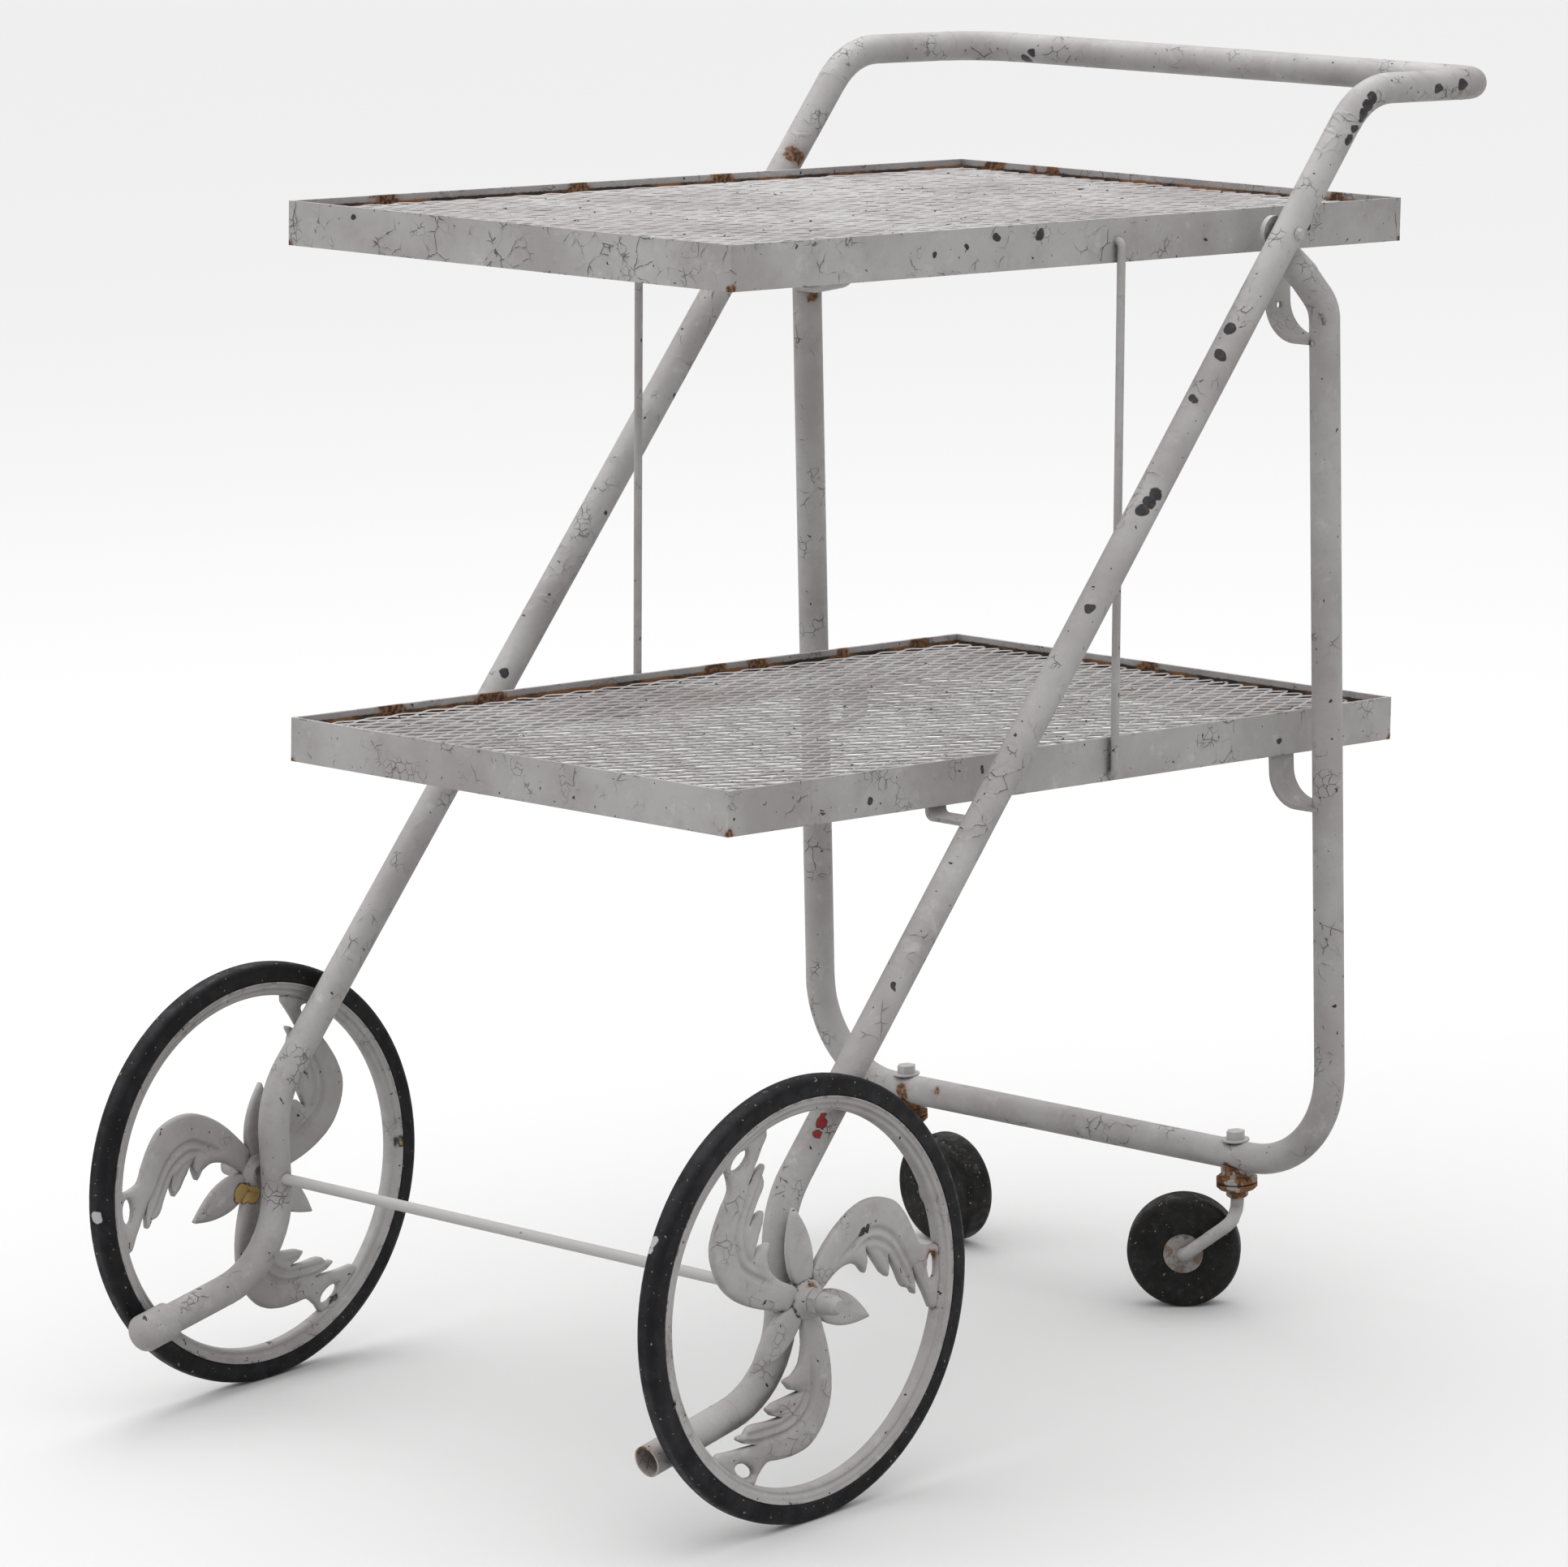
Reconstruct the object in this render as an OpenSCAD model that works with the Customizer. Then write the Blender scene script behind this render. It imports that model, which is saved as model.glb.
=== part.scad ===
// Two-tier patio serving cart: bent steel tube frame, two expanded-metal shelves,
// two cast leaf-spoke wheels in front and two swivel casters behind.
// Front is -Y, the push handle is at +Y, +Z is up and the ground is Z = 0.

/* [Shelves] */
// Width of each shelf, across the cart
shelf_w = 432; // [360:1:500]
// Length of each shelf, front to back
shelf_l = 686; // [560:1:760]
// Height of the flat-bar rim
rim_h = 31; // [24:1:40]
// Thickness of the rim bar
rim_t = 3; // [2:0.5:4]
// Depth of the mesh below the top edge of the rim
mesh_drop = 6; // [4:0.5:12]
// Width of the ledge that carries the mesh
ledge_w = 10; // [6:1:16]
// Height of the top shelf's front edge above the ground
top_shelf_z = 854; // [780:1:900]
// Height of the lower shelf's front edge above the ground
lower_shelf_z = 491; // [430:1:540]
// Distance of the top shelf's front edge behind the front axle
top_shelf_y = 29; // [10:1:60]
// Distance of the lower shelf's front edge behind the front axle
lower_shelf_y = 6; // [-10:1:40]
// Slope of both shelves, down towards the handle, in degrees
shelf_slope = 4.5; // [0:0.1:6]

/* [Expanded metal] */
// Short way of one diamond, across the cart
mesh_short = 21; // [18:0.5:40]
// Long way of one diamond, along the cart
mesh_long = 45; // [40:1:80]
// Width of one strand
strand_w = 3; // [2:0.25:5]
// Thickness of the mesh
strand_t = 2; // [1:0.25:3]

/* [Tube frame] */
// Outside diameter of the frame tube
tube_d = 22; // [19:0.5:26]
// Wall of the frame tube
tube_wall = 1.5; // [1:0.1:2.5]
// Gap between a shelf's side and the leg beside it
leg_gap = 24.5; // [12:0.5:40]
// Angle of the slanting legs from the vertical, in degrees
leg_angle = 42.9; // [40:0.1:45]
// Height above the axle where the leg starts to slant
knee_rise = 58.1; // [45:0.1:75]
// Length of the toe that curls forward under the axle
toe_reach = 131; // [110:1:150]
// Drop of the toe's open end below the axle
toe_drop = 85.4; // [75:0.1:95]
// Rise of the toe towards the axle, in degrees
toe_rise = 10; // [4:0.5:16]
// Middle radius of the toe bend
toe_bend_r = 65; // [45:1:75]
// Middle radius of the knee bend
knee_bend_r = 70; // [40:1:90]
// Distance of the handle bar behind the front axle
handle_y = 776; // [740:1:860]
// Height of the handle bar's middle
handle_z = 878; // [860:1:900]
// Fall of the handle grips towards the bar, in degrees
handle_fall = 4.7; // [2:0.1:8]
// Middle radius of the bend from leg to grip
wrist_bend_r = 60; // [40:1:80]
// Middle radius of the corners of the handle bar
corner_bend_r = 38; // [30:1:60]

/* [Rear frame] */
// Gap between a shelf's side and the upright beside it
upright_gap = 27.5; // [12:0.5:40]
// Distance of the rear crossbar behind the front axle
crossbar_y = 564; // [540:1:600]
// Backward lean of the uprights, in degrees
upright_lean = 1.5; // [0:0.1:2.5]
// Middle radius of the lower corners
foot_bend_r = 75; // [50:1:90]
// Height of the forward bend near the top of each upright
neck_z = 742; // [730:1:750]
// Height of the rivet that joins each upright to its leg
rivet_z = 798; // [790:1:806]
// Thickness of the flattened top of each upright
tongue_t = 4; // [3:0.5:6]
// Diameter of the frame rivets
rivet_d = 6; // [5:0.5:8]

/* [Front wheels] */
// Outside diameter of the tyre
wheel_d = 304.8; // [280:0.2:320]
// Width of the tyre
tyre_w = 15; // [12:0.5:20]
// Height of the tyre, rim to tread
tyre_h = 14; // [10:0.5:18]
// Radial depth of the cast rim
rim_depth = 10; // [8:0.5:14]
// Diameter of the axle rod
axle_d = 8; // [6:0.5:10]
// Diameter of the wheel hub
hub_d = 28; // [24:1:34]
// Length of the wheel hub along the axle
hub_l = 20; // [18:0.5:22]
// Thickness of the leaf spokes
spoke_t = 6; // [4:0.5:8]
// Height of the veins on the leaf spokes
vein_h = 1.5; // [0.5:0.25:3]
// Resting spin of the left wheel, in degrees
left_spin = 1; // [-180:1:180]
// Resting spin of the right wheel, in degrees
right_spin = 0; // [-180:1:180]

/* [Casters] */
// Outside diameter of the caster wheel
caster_d = 83; // [70:1:88]
// Width of the caster wheel
caster_w = 26; // [20:1:30]
// Room between the top of a caster wheel and the crossbar
caster_room = 18; // [15:0.5:30]
// Distance from an upright's middle in to the caster stem
stem_inset = 89.5; // [85:0.5:120]
// Distance from the stem to the caster axle
trail = 40; // [32:1:45]
// Diameter of the bent caster rod
caster_rod_d = 9.5; // [8:0.5:12]
// Swivel angle of the left caster, in degrees, 0 trails towards +X
left_swivel = -5; // [-180:1:180]
// Swivel angle of the right caster, in degrees, 0 trails towards +X
right_swivel = -141; // [-180:1:180]

/* [Tie rods and straps] */
// Diameter of the tie rods
tie_d = 6; // [4:0.5:8]
// Place of the left tie rod along the shelf, from its front edge
left_tie_y = 347; // [200:1:450]
// Place of the right tie rod along the shelf, from its front edge
right_tie_y = 380; // [200:1:450]
// Depth of the tie rod's upper hole below the rim's top edge
tie_hole_top = 16; // [12:1:20]
// Height of the tie rod's lower hole above the rim's bottom edge
tie_hole_low = 5; // [4:0.5:8]
// Width of the rear straps
strap_w = 24; // [18:1:28]
// Width of the front straps
front_strap_w = 18; // [14:1:24]
// Thickness of the straps
strap_t = 3; // [2:0.5:4]
// Drop of the top straps below the rim
top_strap_drop = 64; // [45:1:80]
// Drop of the lower straps below the rim
lower_strap_drop = 36; // [28:1:50]
// Drop of the front straps below the rim
front_strap_drop = 9; // [8:1:20]
// Overlap of a strap on the inside of the rim
strap_lap = 18; // [12:1:20]

/* [Small parts] */
// Thickness of the washer between leg and hub
washer_t = 1.2; // [1:0.1:2]
// Diameter of the axle washers
washer_d = 20; // [16:1:26]
// Width of the cap nut across its corners
nut_d = 19; // [17:0.5:22]
// Length of the cap nut
nut_l = 22; // [18:1:26]
// Height of the cap nut's hexagon
nut_hex_h = 7; // [5:0.5:9]
// Depth of the axle in the cap nut
nut_bore = 9; // [6:1:12]
// Length of the cap on the left toe
cap_l = 24; // [15:1:35]
// Wall of the toe cap
cap_wall = 2.5; // [1.5:0.5:4]
// Height of the toe cap's dome
cap_dome = 9; // [6:1:13]
// Diameter of the caster bolts
caster_bolt_d = 8; // [6:0.5:9]
// Diameter of the collar under the crossbar
collar_d = 23; // [20:0.5:26]
// Height of the collar below the crossbar
collar_h = 4; // [3:0.5:6]
// Diameter of the swivel races
race_d = 30; // [27:0.5:34]
// Thickness of each swivel race
race_t = 4.5; // [4:0.5:6]
// Diameter of the bearing balls
ball_d = 4; // [3:0.5:4.5]
// Number of balls in each swivel
ball_n = 12; // [8:1:14]

/* [Fits] */
// Radial running clearance of an axle in its hub
run_fit = 0.05; // [0.02:0.01:0.1]
// Gap between faces that turn past each other
side_gap = 0.4; // [0.3:0.1:1]

/* [Hidden] */
$fn = 96;

paint = [0.86, 0.85, 0.82];
rust = [0.45, 0.28, 0.18];
rubber = [0.08, 0.08, 0.09];
steel = [0.55, 0.54, 0.52];

// Sizes of details that follow no other piece
bend_swell = 0.1;
bend_lap = 0.5;
neck_bend_r = 30;
neck_l = 30;
mesh_gap = 0.3;
ledge_t = 3;
tie_bend_r = 4;
top_strap_bend = 26;
lower_strap_bend = 24;
front_strap_bend = 6;
leg_front_drop = 50;
strap_hole_d = 5.5;
petal_l = 64;
petal_w = 24;
petal_angle = 97;
bolt_washer_t = 1.2;
bolt_washer_d = 20;
bolt_head_d = 14;
bolt_head_h = 6;
collar_saddle = 4;
ball_gap = 1.2;
ball_track_d = 20;
boss_h = 6;
boss_d = 16;
hub_proud = 1.5;
rod_neck = 8;
rod_kick = 4;
rod_knee = 25;
rod_bend_r = 6;
rod_shoulder_r = 9;
core_disc_d = 29;
core_barrel_d = 18;
clip_t = 2;

tube_r = tube_d / 2;
wheel_r = wheel_d / 2;
axle_z = wheel_r;
leg_knee_z = axle_z + knee_rise;
toe_end_z = axle_z - toe_drop;
crossbar_z = caster_d + caster_room + tube_r;
// The origin is under the middle of the cart's length
y_mid = (handle_y + tube_r - wheel_r) / 2;

// Legs
leg_x = shelf_w / 2 + leg_gap + tube_r;
upright_x = shelf_w / 2 + upright_gap + tube_r;
stem_x = upright_x - stem_inset;

// Unit vector along v
function unit(v) = v / norm(v);
// Angle between two directions
function turn(a, b) = acos(max(-1, min(1, unit(a) * unit(b))));
// Middle of the leg's slanting stretch, at height z
function leg_y(z) = (z - leg_knee_z) * tan(leg_angle);
// Place of an upright's middle at height z
function upright_y(z) = crossbar_y + (z - crossbar_z) * tan(upright_lean);
// Height of the rim's bottom edge where the shelf passes y
function rim_bottom_z(y0, z0, y) = z0 - (y - y0) * tan(shelf_slope) - rim_h / cos(shelf_slope);

// Corner where the leg's line meets the grip's line
wrist_z = (handle_z + (handle_y + leg_knee_z * tan(leg_angle)) * tan(handle_fall))
  / (1 + tan(leg_angle) * tan(handle_fall));
// Corner of the toe bend, under the axle
toe_corner_z = toe_end_z + toe_reach * tan(toe_rise);

/* Helpers */

// Stands the children, drawn along +Z from 0, on the line from a to b
module stand(a, b) {
  d = b - a;
  translate(a)
    rotate([0, acos(d.z / norm(d)), atan2(d.y, d.x)])
      children();
}

// Cross-section of a tube, or of a rod where wall is 0
module ring(r, wall) {
  difference() {
    circle(r);
    if (wall > 0) circle(r - wall);
  }
}

// Straight stretch of tube from a to b
module tube_run(a, b, r, wall) {
  stand(a, b)
    linear_extrude(norm(b - a)) ring(r, wall);
}

// Bend of tube at corner p, from direction u to direction v, with middle radius bend
module tube_bend(p, u, v, bend, r, wall) {
  angle = turn(u, v);
  start = p - unit(u) * bend * tan(angle / 2);
  inward = unit(v - (v * unit(u)) * unit(u));
  centre = start + inward * bend;
  x = -inward;
  y = unit(u);
  z = cross(x, y);
  multmatrix([
    [x.x, y.x, z.x, centre.x],
    [x.y, y.y, z.y, centre.y],
    [x.z, y.z, z.z, centre.z],
    [0, 0, 0, 1]
  ])
    rotate_extrude(angle = angle)
      translate([bend, 0]) ring(r + bend_swell, wall > 0 ? wall + 2 * bend_swell : 0);
}

// Length that a bend takes from each side of corner i of a path
function bend_cut(path, bends, i) =
  i <= 0 || i >= len(path) - 1 ? 0
    : bends[i] * tan(turn(path[i] - path[i - 1], path[i + 1] - path[i]) / 2);

// Tube or rod that follows a path, with a bend at each inner corner.
// Each straight run laps a little into its bends, which are a hair thicker.
module bent_tube(path, bends, r, wall = 0) {
  last = len(path) - 1;
  for (i = [0:last - 1]) {
    u = unit(path[i + 1] - path[i]);
    tube_run(path[i] + u * (bend_cut(path, bends, i) - (i > 0 ? bend_lap : 0)),
             path[i + 1] - u * (bend_cut(path, bends, i + 1) - (i + 1 < last ? bend_lap : 0)),
             r, wall);
  }
  for (i = [1:len(path) - 2])
    tube_bend(path[i], path[i] - path[i - 1], path[i + 1] - path[i], bends[i], r, wall);
}

// Moves the children from the front axle's frame to the cart's origin
module placed() {
  translate([0, -y_mid, 0]) children();
}

// Puts the children at both sides of the cart, mirrored
module both_sides() {
  children();
  mirror([1, 0, 0]) children();
}

// Moves the children from shelf axes, with the origin at the front edge's top, into place
module on_shelf(y0, z0) {
  placed() translate([0, y0, z0]) rotate([-shelf_slope, 0, 0]) children();
}

// Smooth curve through the points, steps pieces between each two
function smooth(p, steps = 4) = [
  for (i = [0:len(p) - 2], s = [0:steps - 1])
    let (
      t = s / steps,
      a = p[max(i - 1, 0)],
      b = p[i],
      c = p[i + 1],
      d = p[min(i + 2, len(p) - 1)]
    )
    0.5 * (2 * b + (c - a) * t + (2 * a - 5 * b + 4 * c - d) * t * t
      + (3 * b - a - 3 * c + d) * t * t * t)
];

// Stroke along a curve, w wide in the middle and pointed at both ends
function stroke(c, w) =
  let (
    n = len(c) - 1,
    side = [for (i = [0:n])
      let (d = unit(c[min(i + 1, n)] - c[max(i - 1, 0)])) [-d.y, d.x] * w / 2 * sin(180 * i / n)]
  )
  concat([for (i = [0:n]) c[i] + side[i]], [for (i = [n - 1:-1:1]) c[i] - side[i]]);

/* Tube frame */

module handle_frame() {
  placed() color(paint)
    difference() {
      bent_tube([
        [-leg_x, -toe_reach, toe_end_z],
        [-leg_x, 0, toe_corner_z],
        [-leg_x, 0, leg_knee_z],
        [-leg_x, leg_y(wrist_z), wrist_z],
        [-leg_x, handle_y, handle_z],
        [leg_x, handle_y, handle_z],
        [leg_x, leg_y(wrist_z), wrist_z],
        [leg_x, 0, leg_knee_z],
        [leg_x, 0, toe_corner_z],
        [leg_x, -toe_reach, toe_end_z]
      ], [
        0, toe_bend_r, knee_bend_r, wrist_bend_r, corner_bend_r,
        corner_bend_r, wrist_bend_r, knee_bend_r, toe_bend_r, 0
      ], tube_r, tube_wall);
      both_sides() {
        translate([leg_x, 0, axle_z]) rotate([0, 90, 0])
          cylinder(h = 2 * tube_d, d = axle_d, center = true);
        translate([leg_x, leg_y(rivet_z), rivet_z]) rotate([0, 90, 0])
          cylinder(h = 2 * tube_d, d = rivet_d, center = true);
      }
    }
}

// Flattened tongue on top of the right upright, lying against the inside of the leg
tongue_x = leg_x - tube_r - tongue_t / 2;
tongue_tip = [tongue_x, leg_y(rivet_z), rivet_z];
neck = [upright_x, upright_y(neck_z), neck_z];
neck_end = neck + unit(tongue_tip - neck) * neck_l;
tongue_dir = unit([0, tongue_tip.y - neck.y, tongue_tip.z - neck.z]);

module tongue() {
  // Width of the flattened tube
  flat_w = tube_d + 2;
  flat_l = 18;
  angle = atan2(-tongue_dir.y, tongue_dir.z);
  hull() {
    stand(neck_end, tongue_tip) translate([0, 0, -3]) cylinder(h = 3, r = tube_r + 0.4, $fn = 32);
    translate(tongue_tip - tongue_dir * flat_l) rotate([angle, 0, 0])
      cube([tongue_t, flat_w, 0.5], center = true);
  }
  translate(tongue_tip) rotate([angle, 0, 0])
    translate([-tongue_t / 2, -flat_w / 2, -flat_l])
      cube([tongue_t, flat_w, flat_l]);
  translate(tongue_tip) rotate([0, 90, 0])
    cylinder(h = tongue_t, d = flat_w, center = true);
}

module rear_frame() {
  corner = [upright_x, crossbar_y, crossbar_z];
  function left(p) = [-p.x, p.y, p.z];
  placed() color(paint)
    difference() {
      union() {
        bent_tube([left(neck_end), left(neck), left(corner), corner, neck, neck_end],
          [0, neck_bend_r, foot_bend_r, foot_bend_r, neck_bend_r, 0], tube_r, tube_wall);
        both_sides() tongue();
      }
      both_sides() {
        translate(tongue_tip) rotate([0, 90, 0])
          cylinder(h = 3 * tongue_t, d = rivet_d, center = true);
        translate([stem_x, crossbar_y, crossbar_z])
          cylinder(h = 2 * tube_d, d = caster_bolt_d, center = true);
      }
    }
}

// Rounded cap on the left toe; the right toe has lost its cap and stands open
module toe_cap() {
  cap_r = tube_r + cap_wall;
  placed() color(paint)
    stand([-leg_x, -toe_reach, toe_end_z],
          [-leg_x, -2 * toe_reach, toe_end_z - toe_reach * tan(toe_rise)])
      rotate_extrude()
        polygon(concat(
          [[0, 0], [tube_r, 0], [tube_r, -cap_l], [cap_r - 1, -cap_l], [cap_r, 1 - cap_l]],
          [for (a = [0:10:90]) [cap_r * cos(a), cap_dome * sin(a)]]
        ));
}

// Rivet along +X between x = 0 and x = grip, with a low head at each end
module rivet(grip, d) {
  head_r = d * 0.85;
  head_h = d * 0.35;
  rotate([0, 90, 0]) {
    cylinder(h = grip, d = d);
    translate([0, 0, grip]) cylinder(h = head_h, r1 = head_r, r2 = head_r * 0.6);
    translate([0, 0, -head_h]) cylinder(h = head_h, r1 = head_r * 0.6, r2 = head_r);
  }
}

module frame_rivets() {
  placed() color(paint)
    both_sides()
      translate([tongue_x - tongue_t / 2, leg_y(rivet_z), rivet_z])
        rivet(tongue_t + tube_d, rivet_d);
}

/* Shelves */

// Rim of flat bar with an inner ledge, its front edge's top at the origin
module shelf_rim() {
  ledge_z = -mesh_drop - strand_t;
  color(paint)
    difference() {
      union() {
        difference() {
          translate([-shelf_w / 2, 0, -rim_h]) cube([shelf_w, shelf_l, rim_h]);
          translate([-shelf_w / 2 + rim_t, rim_t, -rim_h - 1])
            cube([shelf_w - 2 * rim_t, shelf_l - 2 * rim_t, rim_h + 2]);
        }
        translate([0, 0, ledge_z - ledge_t]) linear_extrude(ledge_t)
          difference() {
            translate([-shelf_w / 2 + rim_t / 2, rim_t / 2])
              square([shelf_w - rim_t, shelf_l - rim_t]);
            translate([-shelf_w / 2 + rim_t + ledge_w, rim_t + ledge_w])
              square([shelf_w - 2 * (rim_t + ledge_w), shelf_l - 2 * (rim_t + ledge_w)]);
          }
      }
      children();
    }
}

// Hole for a tie rod through one side of a rim
module tie_hole(side, l, depth) {
  translate([side * shelf_w / 2, l, -depth]) rotate([0, 90, 0])
    cylinder(h = 4 * rim_t, d = tie_d, center = true);
}

module top_shelf_rim() {
  on_shelf(top_shelf_y, top_shelf_z)
    shelf_rim() {
      tie_hole(-1, left_tie_y, tie_hole_top);
      tie_hole(1, right_tie_y, tie_hole_top);
    }
}

module lower_shelf_rim() {
  on_shelf(lower_shelf_y, lower_shelf_z)
    shelf_rim() {
      tie_hole(-1, left_tie_y, rim_h - tie_hole_low);
      tie_hole(1, right_tie_y, rim_h - tie_hole_low);
    }
}

// Expanded metal: a sheet with staggered rows of diamond openings
module shelf_mesh() {
  sheet_w = shelf_w - 2 * (rim_t + mesh_gap);
  sheet_l = shelf_l - 2 * (rim_t + mesh_gap);
  // Solid edge that lies on the ledge
  edge = ledge_w * 0.6;
  // Whole cells fill the sheet between its edges
  columns = floor((sheet_w - 2 * edge) / mesh_short);
  rows = floor((sheet_l - 2 * edge) / mesh_long);
  cell_w = (sheet_w - 2 * edge) / columns;
  cell_l = (sheet_l - 2 * edge) / rows;
  // Half sizes of one opening, a strand narrower than its cell
  half_l = cell_l / 2 - strand_w * cell_l / cell_w / 2;
  half_w = cell_w / 2 - strand_w / 2;
  color(paint)
    translate([-sheet_w / 2 + edge, rim_t + mesh_gap + edge, -mesh_drop - strand_t])
      linear_extrude(strand_t)
        difference() {
          translate([-edge, -edge]) square([sheet_w, sheet_l]);
          for (stagger = [0, 0.5])
            for (i = [0:columns - 1 - 2 * stagger], j = [0:rows - 1 - 2 * stagger])
              translate([(i + 0.5 + stagger) * cell_w, (j + 0.5 + stagger) * cell_l])
                polygon([[half_w, 0], [0, half_l], [-half_w, 0], [0, -half_l]]);
        }
}

module top_shelf_mesh() {
  on_shelf(top_shelf_y, top_shelf_z) shelf_mesh();
}

module lower_shelf_mesh() {
  on_shelf(lower_shelf_y, lower_shelf_z) shelf_mesh();
}

/* Tie rods and straps */

// Place of a point on a shelf side, l behind the front edge and depth below the rim's top
function shelf_point(x, y0, z0, l, depth) = [
  x,
  y0 + l * cos(shelf_slope) - depth * sin(shelf_slope),
  z0 - l * sin(shelf_slope) - depth * cos(shelf_slope)
];

// Rod outside the rims, hooked inwards through a hole in each
module tie_rod(side, l) {
  inner_x = side * (shelf_w / 2 - rim_t - tie_d);
  outer_x = side * (shelf_w / 2 + side_gap + tie_bend_r);
  high = shelf_point(0, top_shelf_y, top_shelf_z, l, tie_hole_top);
  low = shelf_point(0, lower_shelf_y, lower_shelf_z, l, rim_h - tie_hole_low);
  placed() color(paint)
    bent_tube([high + [inner_x, 0, 0], high + [outer_x, 0, 0],
               low + [outer_x, 0, 0], low + [inner_x, 0, 0]],
              [0, tie_bend_r, tie_bend_r, 0], tie_d / 2);
}

module tie_rod_left() { tie_rod(-1, left_tie_y); }
module tie_rod_right() { tie_rod(1, right_tie_y); }

// Outline of a strap in the X-Z plane: from the rim's inside down, then out to x = reach
module strap_outline(drop, bend, reach) {
  x0 = shelf_w / 2 - rim_t - strap_t;
  translate([x0, bend - drop]) square([strap_t, strap_lap + drop - bend]);
  translate([x0 + bend, bend - drop])
    intersection() {
      difference() {
        circle(bend);
        circle(bend - strap_t);
      }
      translate([-bend, -bend]) square(bend);
    }
  translate([x0 + bend, -drop]) square([reach - x0 - bend, strap_t]);
}

// Strap on the right side at place y, w wide, that drops below the rim and turns out
module strap(y0, z0, y, w, drop, bend, reach) {
  translate([0, y + w / 2, rim_bottom_z(y0, z0, y)]) rotate([90, 0, 0])
    linear_extrude(w) strap_outline(drop, bend, reach);
}

// Solid of the right upright, and of the right leg, for cutting a strap's end to it
module upright_solid() {
  tube_run([upright_x, crossbar_y, crossbar_z], neck, tube_r, 0);
}

module leg_solid() {
  tube_run([leg_x, 0, leg_knee_z], [leg_x, leg_y(wrist_z), wrist_z], tube_r, 0);
}

module top_strap_right() {
  y = upright_y(top_shelf_z - 2 * rim_h - top_strap_drop);
  placed() color(paint)
    difference() {
      strap(top_shelf_y, top_shelf_z, y, strap_w, top_strap_drop, top_strap_bend, upright_x);
      upright_solid();
      translate([shelf_w / 2, y, rim_bottom_z(top_shelf_y, top_shelf_z, y) - top_strap_drop * 0.62])
        rotate([0, 90, 0]) cylinder(h = 4 * strap_t + 2 * rim_t, d = strap_hole_d, center = true);
    }
}

module lower_strap_right() {
  y = upright_y(lower_shelf_z - 2 * rim_h - lower_strap_drop);
  placed() color(paint)
    difference() {
      strap(lower_shelf_y, lower_shelf_z, y, strap_w, lower_strap_drop, lower_strap_bend,
            upright_x);
      upright_solid();
    }
}

module front_strap_right() {
  y = leg_y(lower_shelf_z - leg_front_drop) - front_strap_w / 4;
  placed() color(paint)
    difference() {
      strap(lower_shelf_y, lower_shelf_z, y, front_strap_w, front_strap_drop, front_strap_bend,
            leg_x);
      leg_solid();
    }
}

module top_strap_left() { mirror([1, 0, 0]) top_strap_right(); }
module lower_strap_left() { mirror([1, 0, 0]) lower_strap_right(); }
module front_strap_left() { mirror([1, 0, 0]) front_strap_right(); }

/* Front wheels */

// Middle of the right wheel, outside the leg and its washer
wheel_x = leg_x + tube_r + washer_t + side_gap + hub_l / 2;
rim_r = wheel_r - tyre_h;
nut_x = wheel_x + hub_l / 2 + side_gap;

module axle_rod() {
  end_x = nut_x + nut_bore;
  placed() color(steel)
    translate([0, 0, axle_z]) rotate([0, 90, 0])
      cylinder(h = 2 * end_x, d = axle_d, center = true);
}

module axle_washers() {
  placed() color(steel)
    both_sides()
      translate([leg_x + tube_r + bend_swell, 0, axle_z]) rotate([0, 90, 0])
        linear_extrude(washer_t) ring(washer_d / 2, (washer_d - axle_d) / 2);
}

// Outline of one leaf spoke: an arched blade with three barbs and a forked foot.
// The wheel's middle is the origin, and the foot meets the rim at +X.
leaf_scale = (rim_r - rim_depth) / 128;
leaf_back = [[6, 18], [24, 36], [40, 47.5], [56, 54], [72, 54.5], [88, 49], [99, 37], [107, 23], [114, 12],
             [121, 10]];
leaf_foot = [[129, 9], [130, -10], [125, -34]];
leaf_tail = [[120, -31], [112, -15], [105, -6], [102, 0]];
leaf_barb_3 = [[105, -13], [105.5, -19.5]];
leaf_barb_3_in = [[101, -18], [93, -12], [86, 2], [80, 13]];
leaf_barb_2 = [[80.5, 4], [78.5, -1.5]];
leaf_barb_2_in = [[73, 2], [66, 12], [59, 22]];
leaf_barb_1 = [[59.5, 13], [56.7, 6]];
leaf_barb_1_in = [[51, 11.5], [42, 15], [29, 12], [15, 3]];
leaf_outline = concat(
  smooth(leaf_back), leaf_foot, smooth(leaf_tail),
  leaf_barb_3, smooth(leaf_barb_3_in), leaf_barb_2, smooth(leaf_barb_2_in),
  leaf_barb_1, smooth(leaf_barb_1_in), [[8, -4]]
);
// Veins that follow the arch, one into each barb
leaf_veins = [
  [[20, 22], [40, 37], [58, 44], [74, 43], [88, 35], [97, 20], [101, 2], [104, -15]],
  [[22, 17], [40, 29], [56, 36], [68, 34], [76, 22], [79, 4]],
  [[20, 12], [34, 20], [46, 25], [54, 20], [57, 10]],
  [[30, 36], [48, 48], [64, 51], [80, 48], [95, 35], [104, 19], [111, 5]]
];
vein_w = 4;

module leaf_spoke() {
  scale([leaf_scale, leaf_scale, 1])
  difference() {
    linear_extrude(spoke_t, center = true) polygon(leaf_outline);
    // Eyelet between the foot's two prongs
    translate([119.5, -5]) rotate(-14)
      linear_extrude(2 * spoke_t, center = true)
        polygon([[-3, -9], [3.5, -8], [3, 8], [-2.5, 7]]);
  }
  for (v = leaf_veins)
    linear_extrude(spoke_t + 2 * vein_h, center = true)
      polygon(stroke(smooth(v, 3), vein_w));
}

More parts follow.
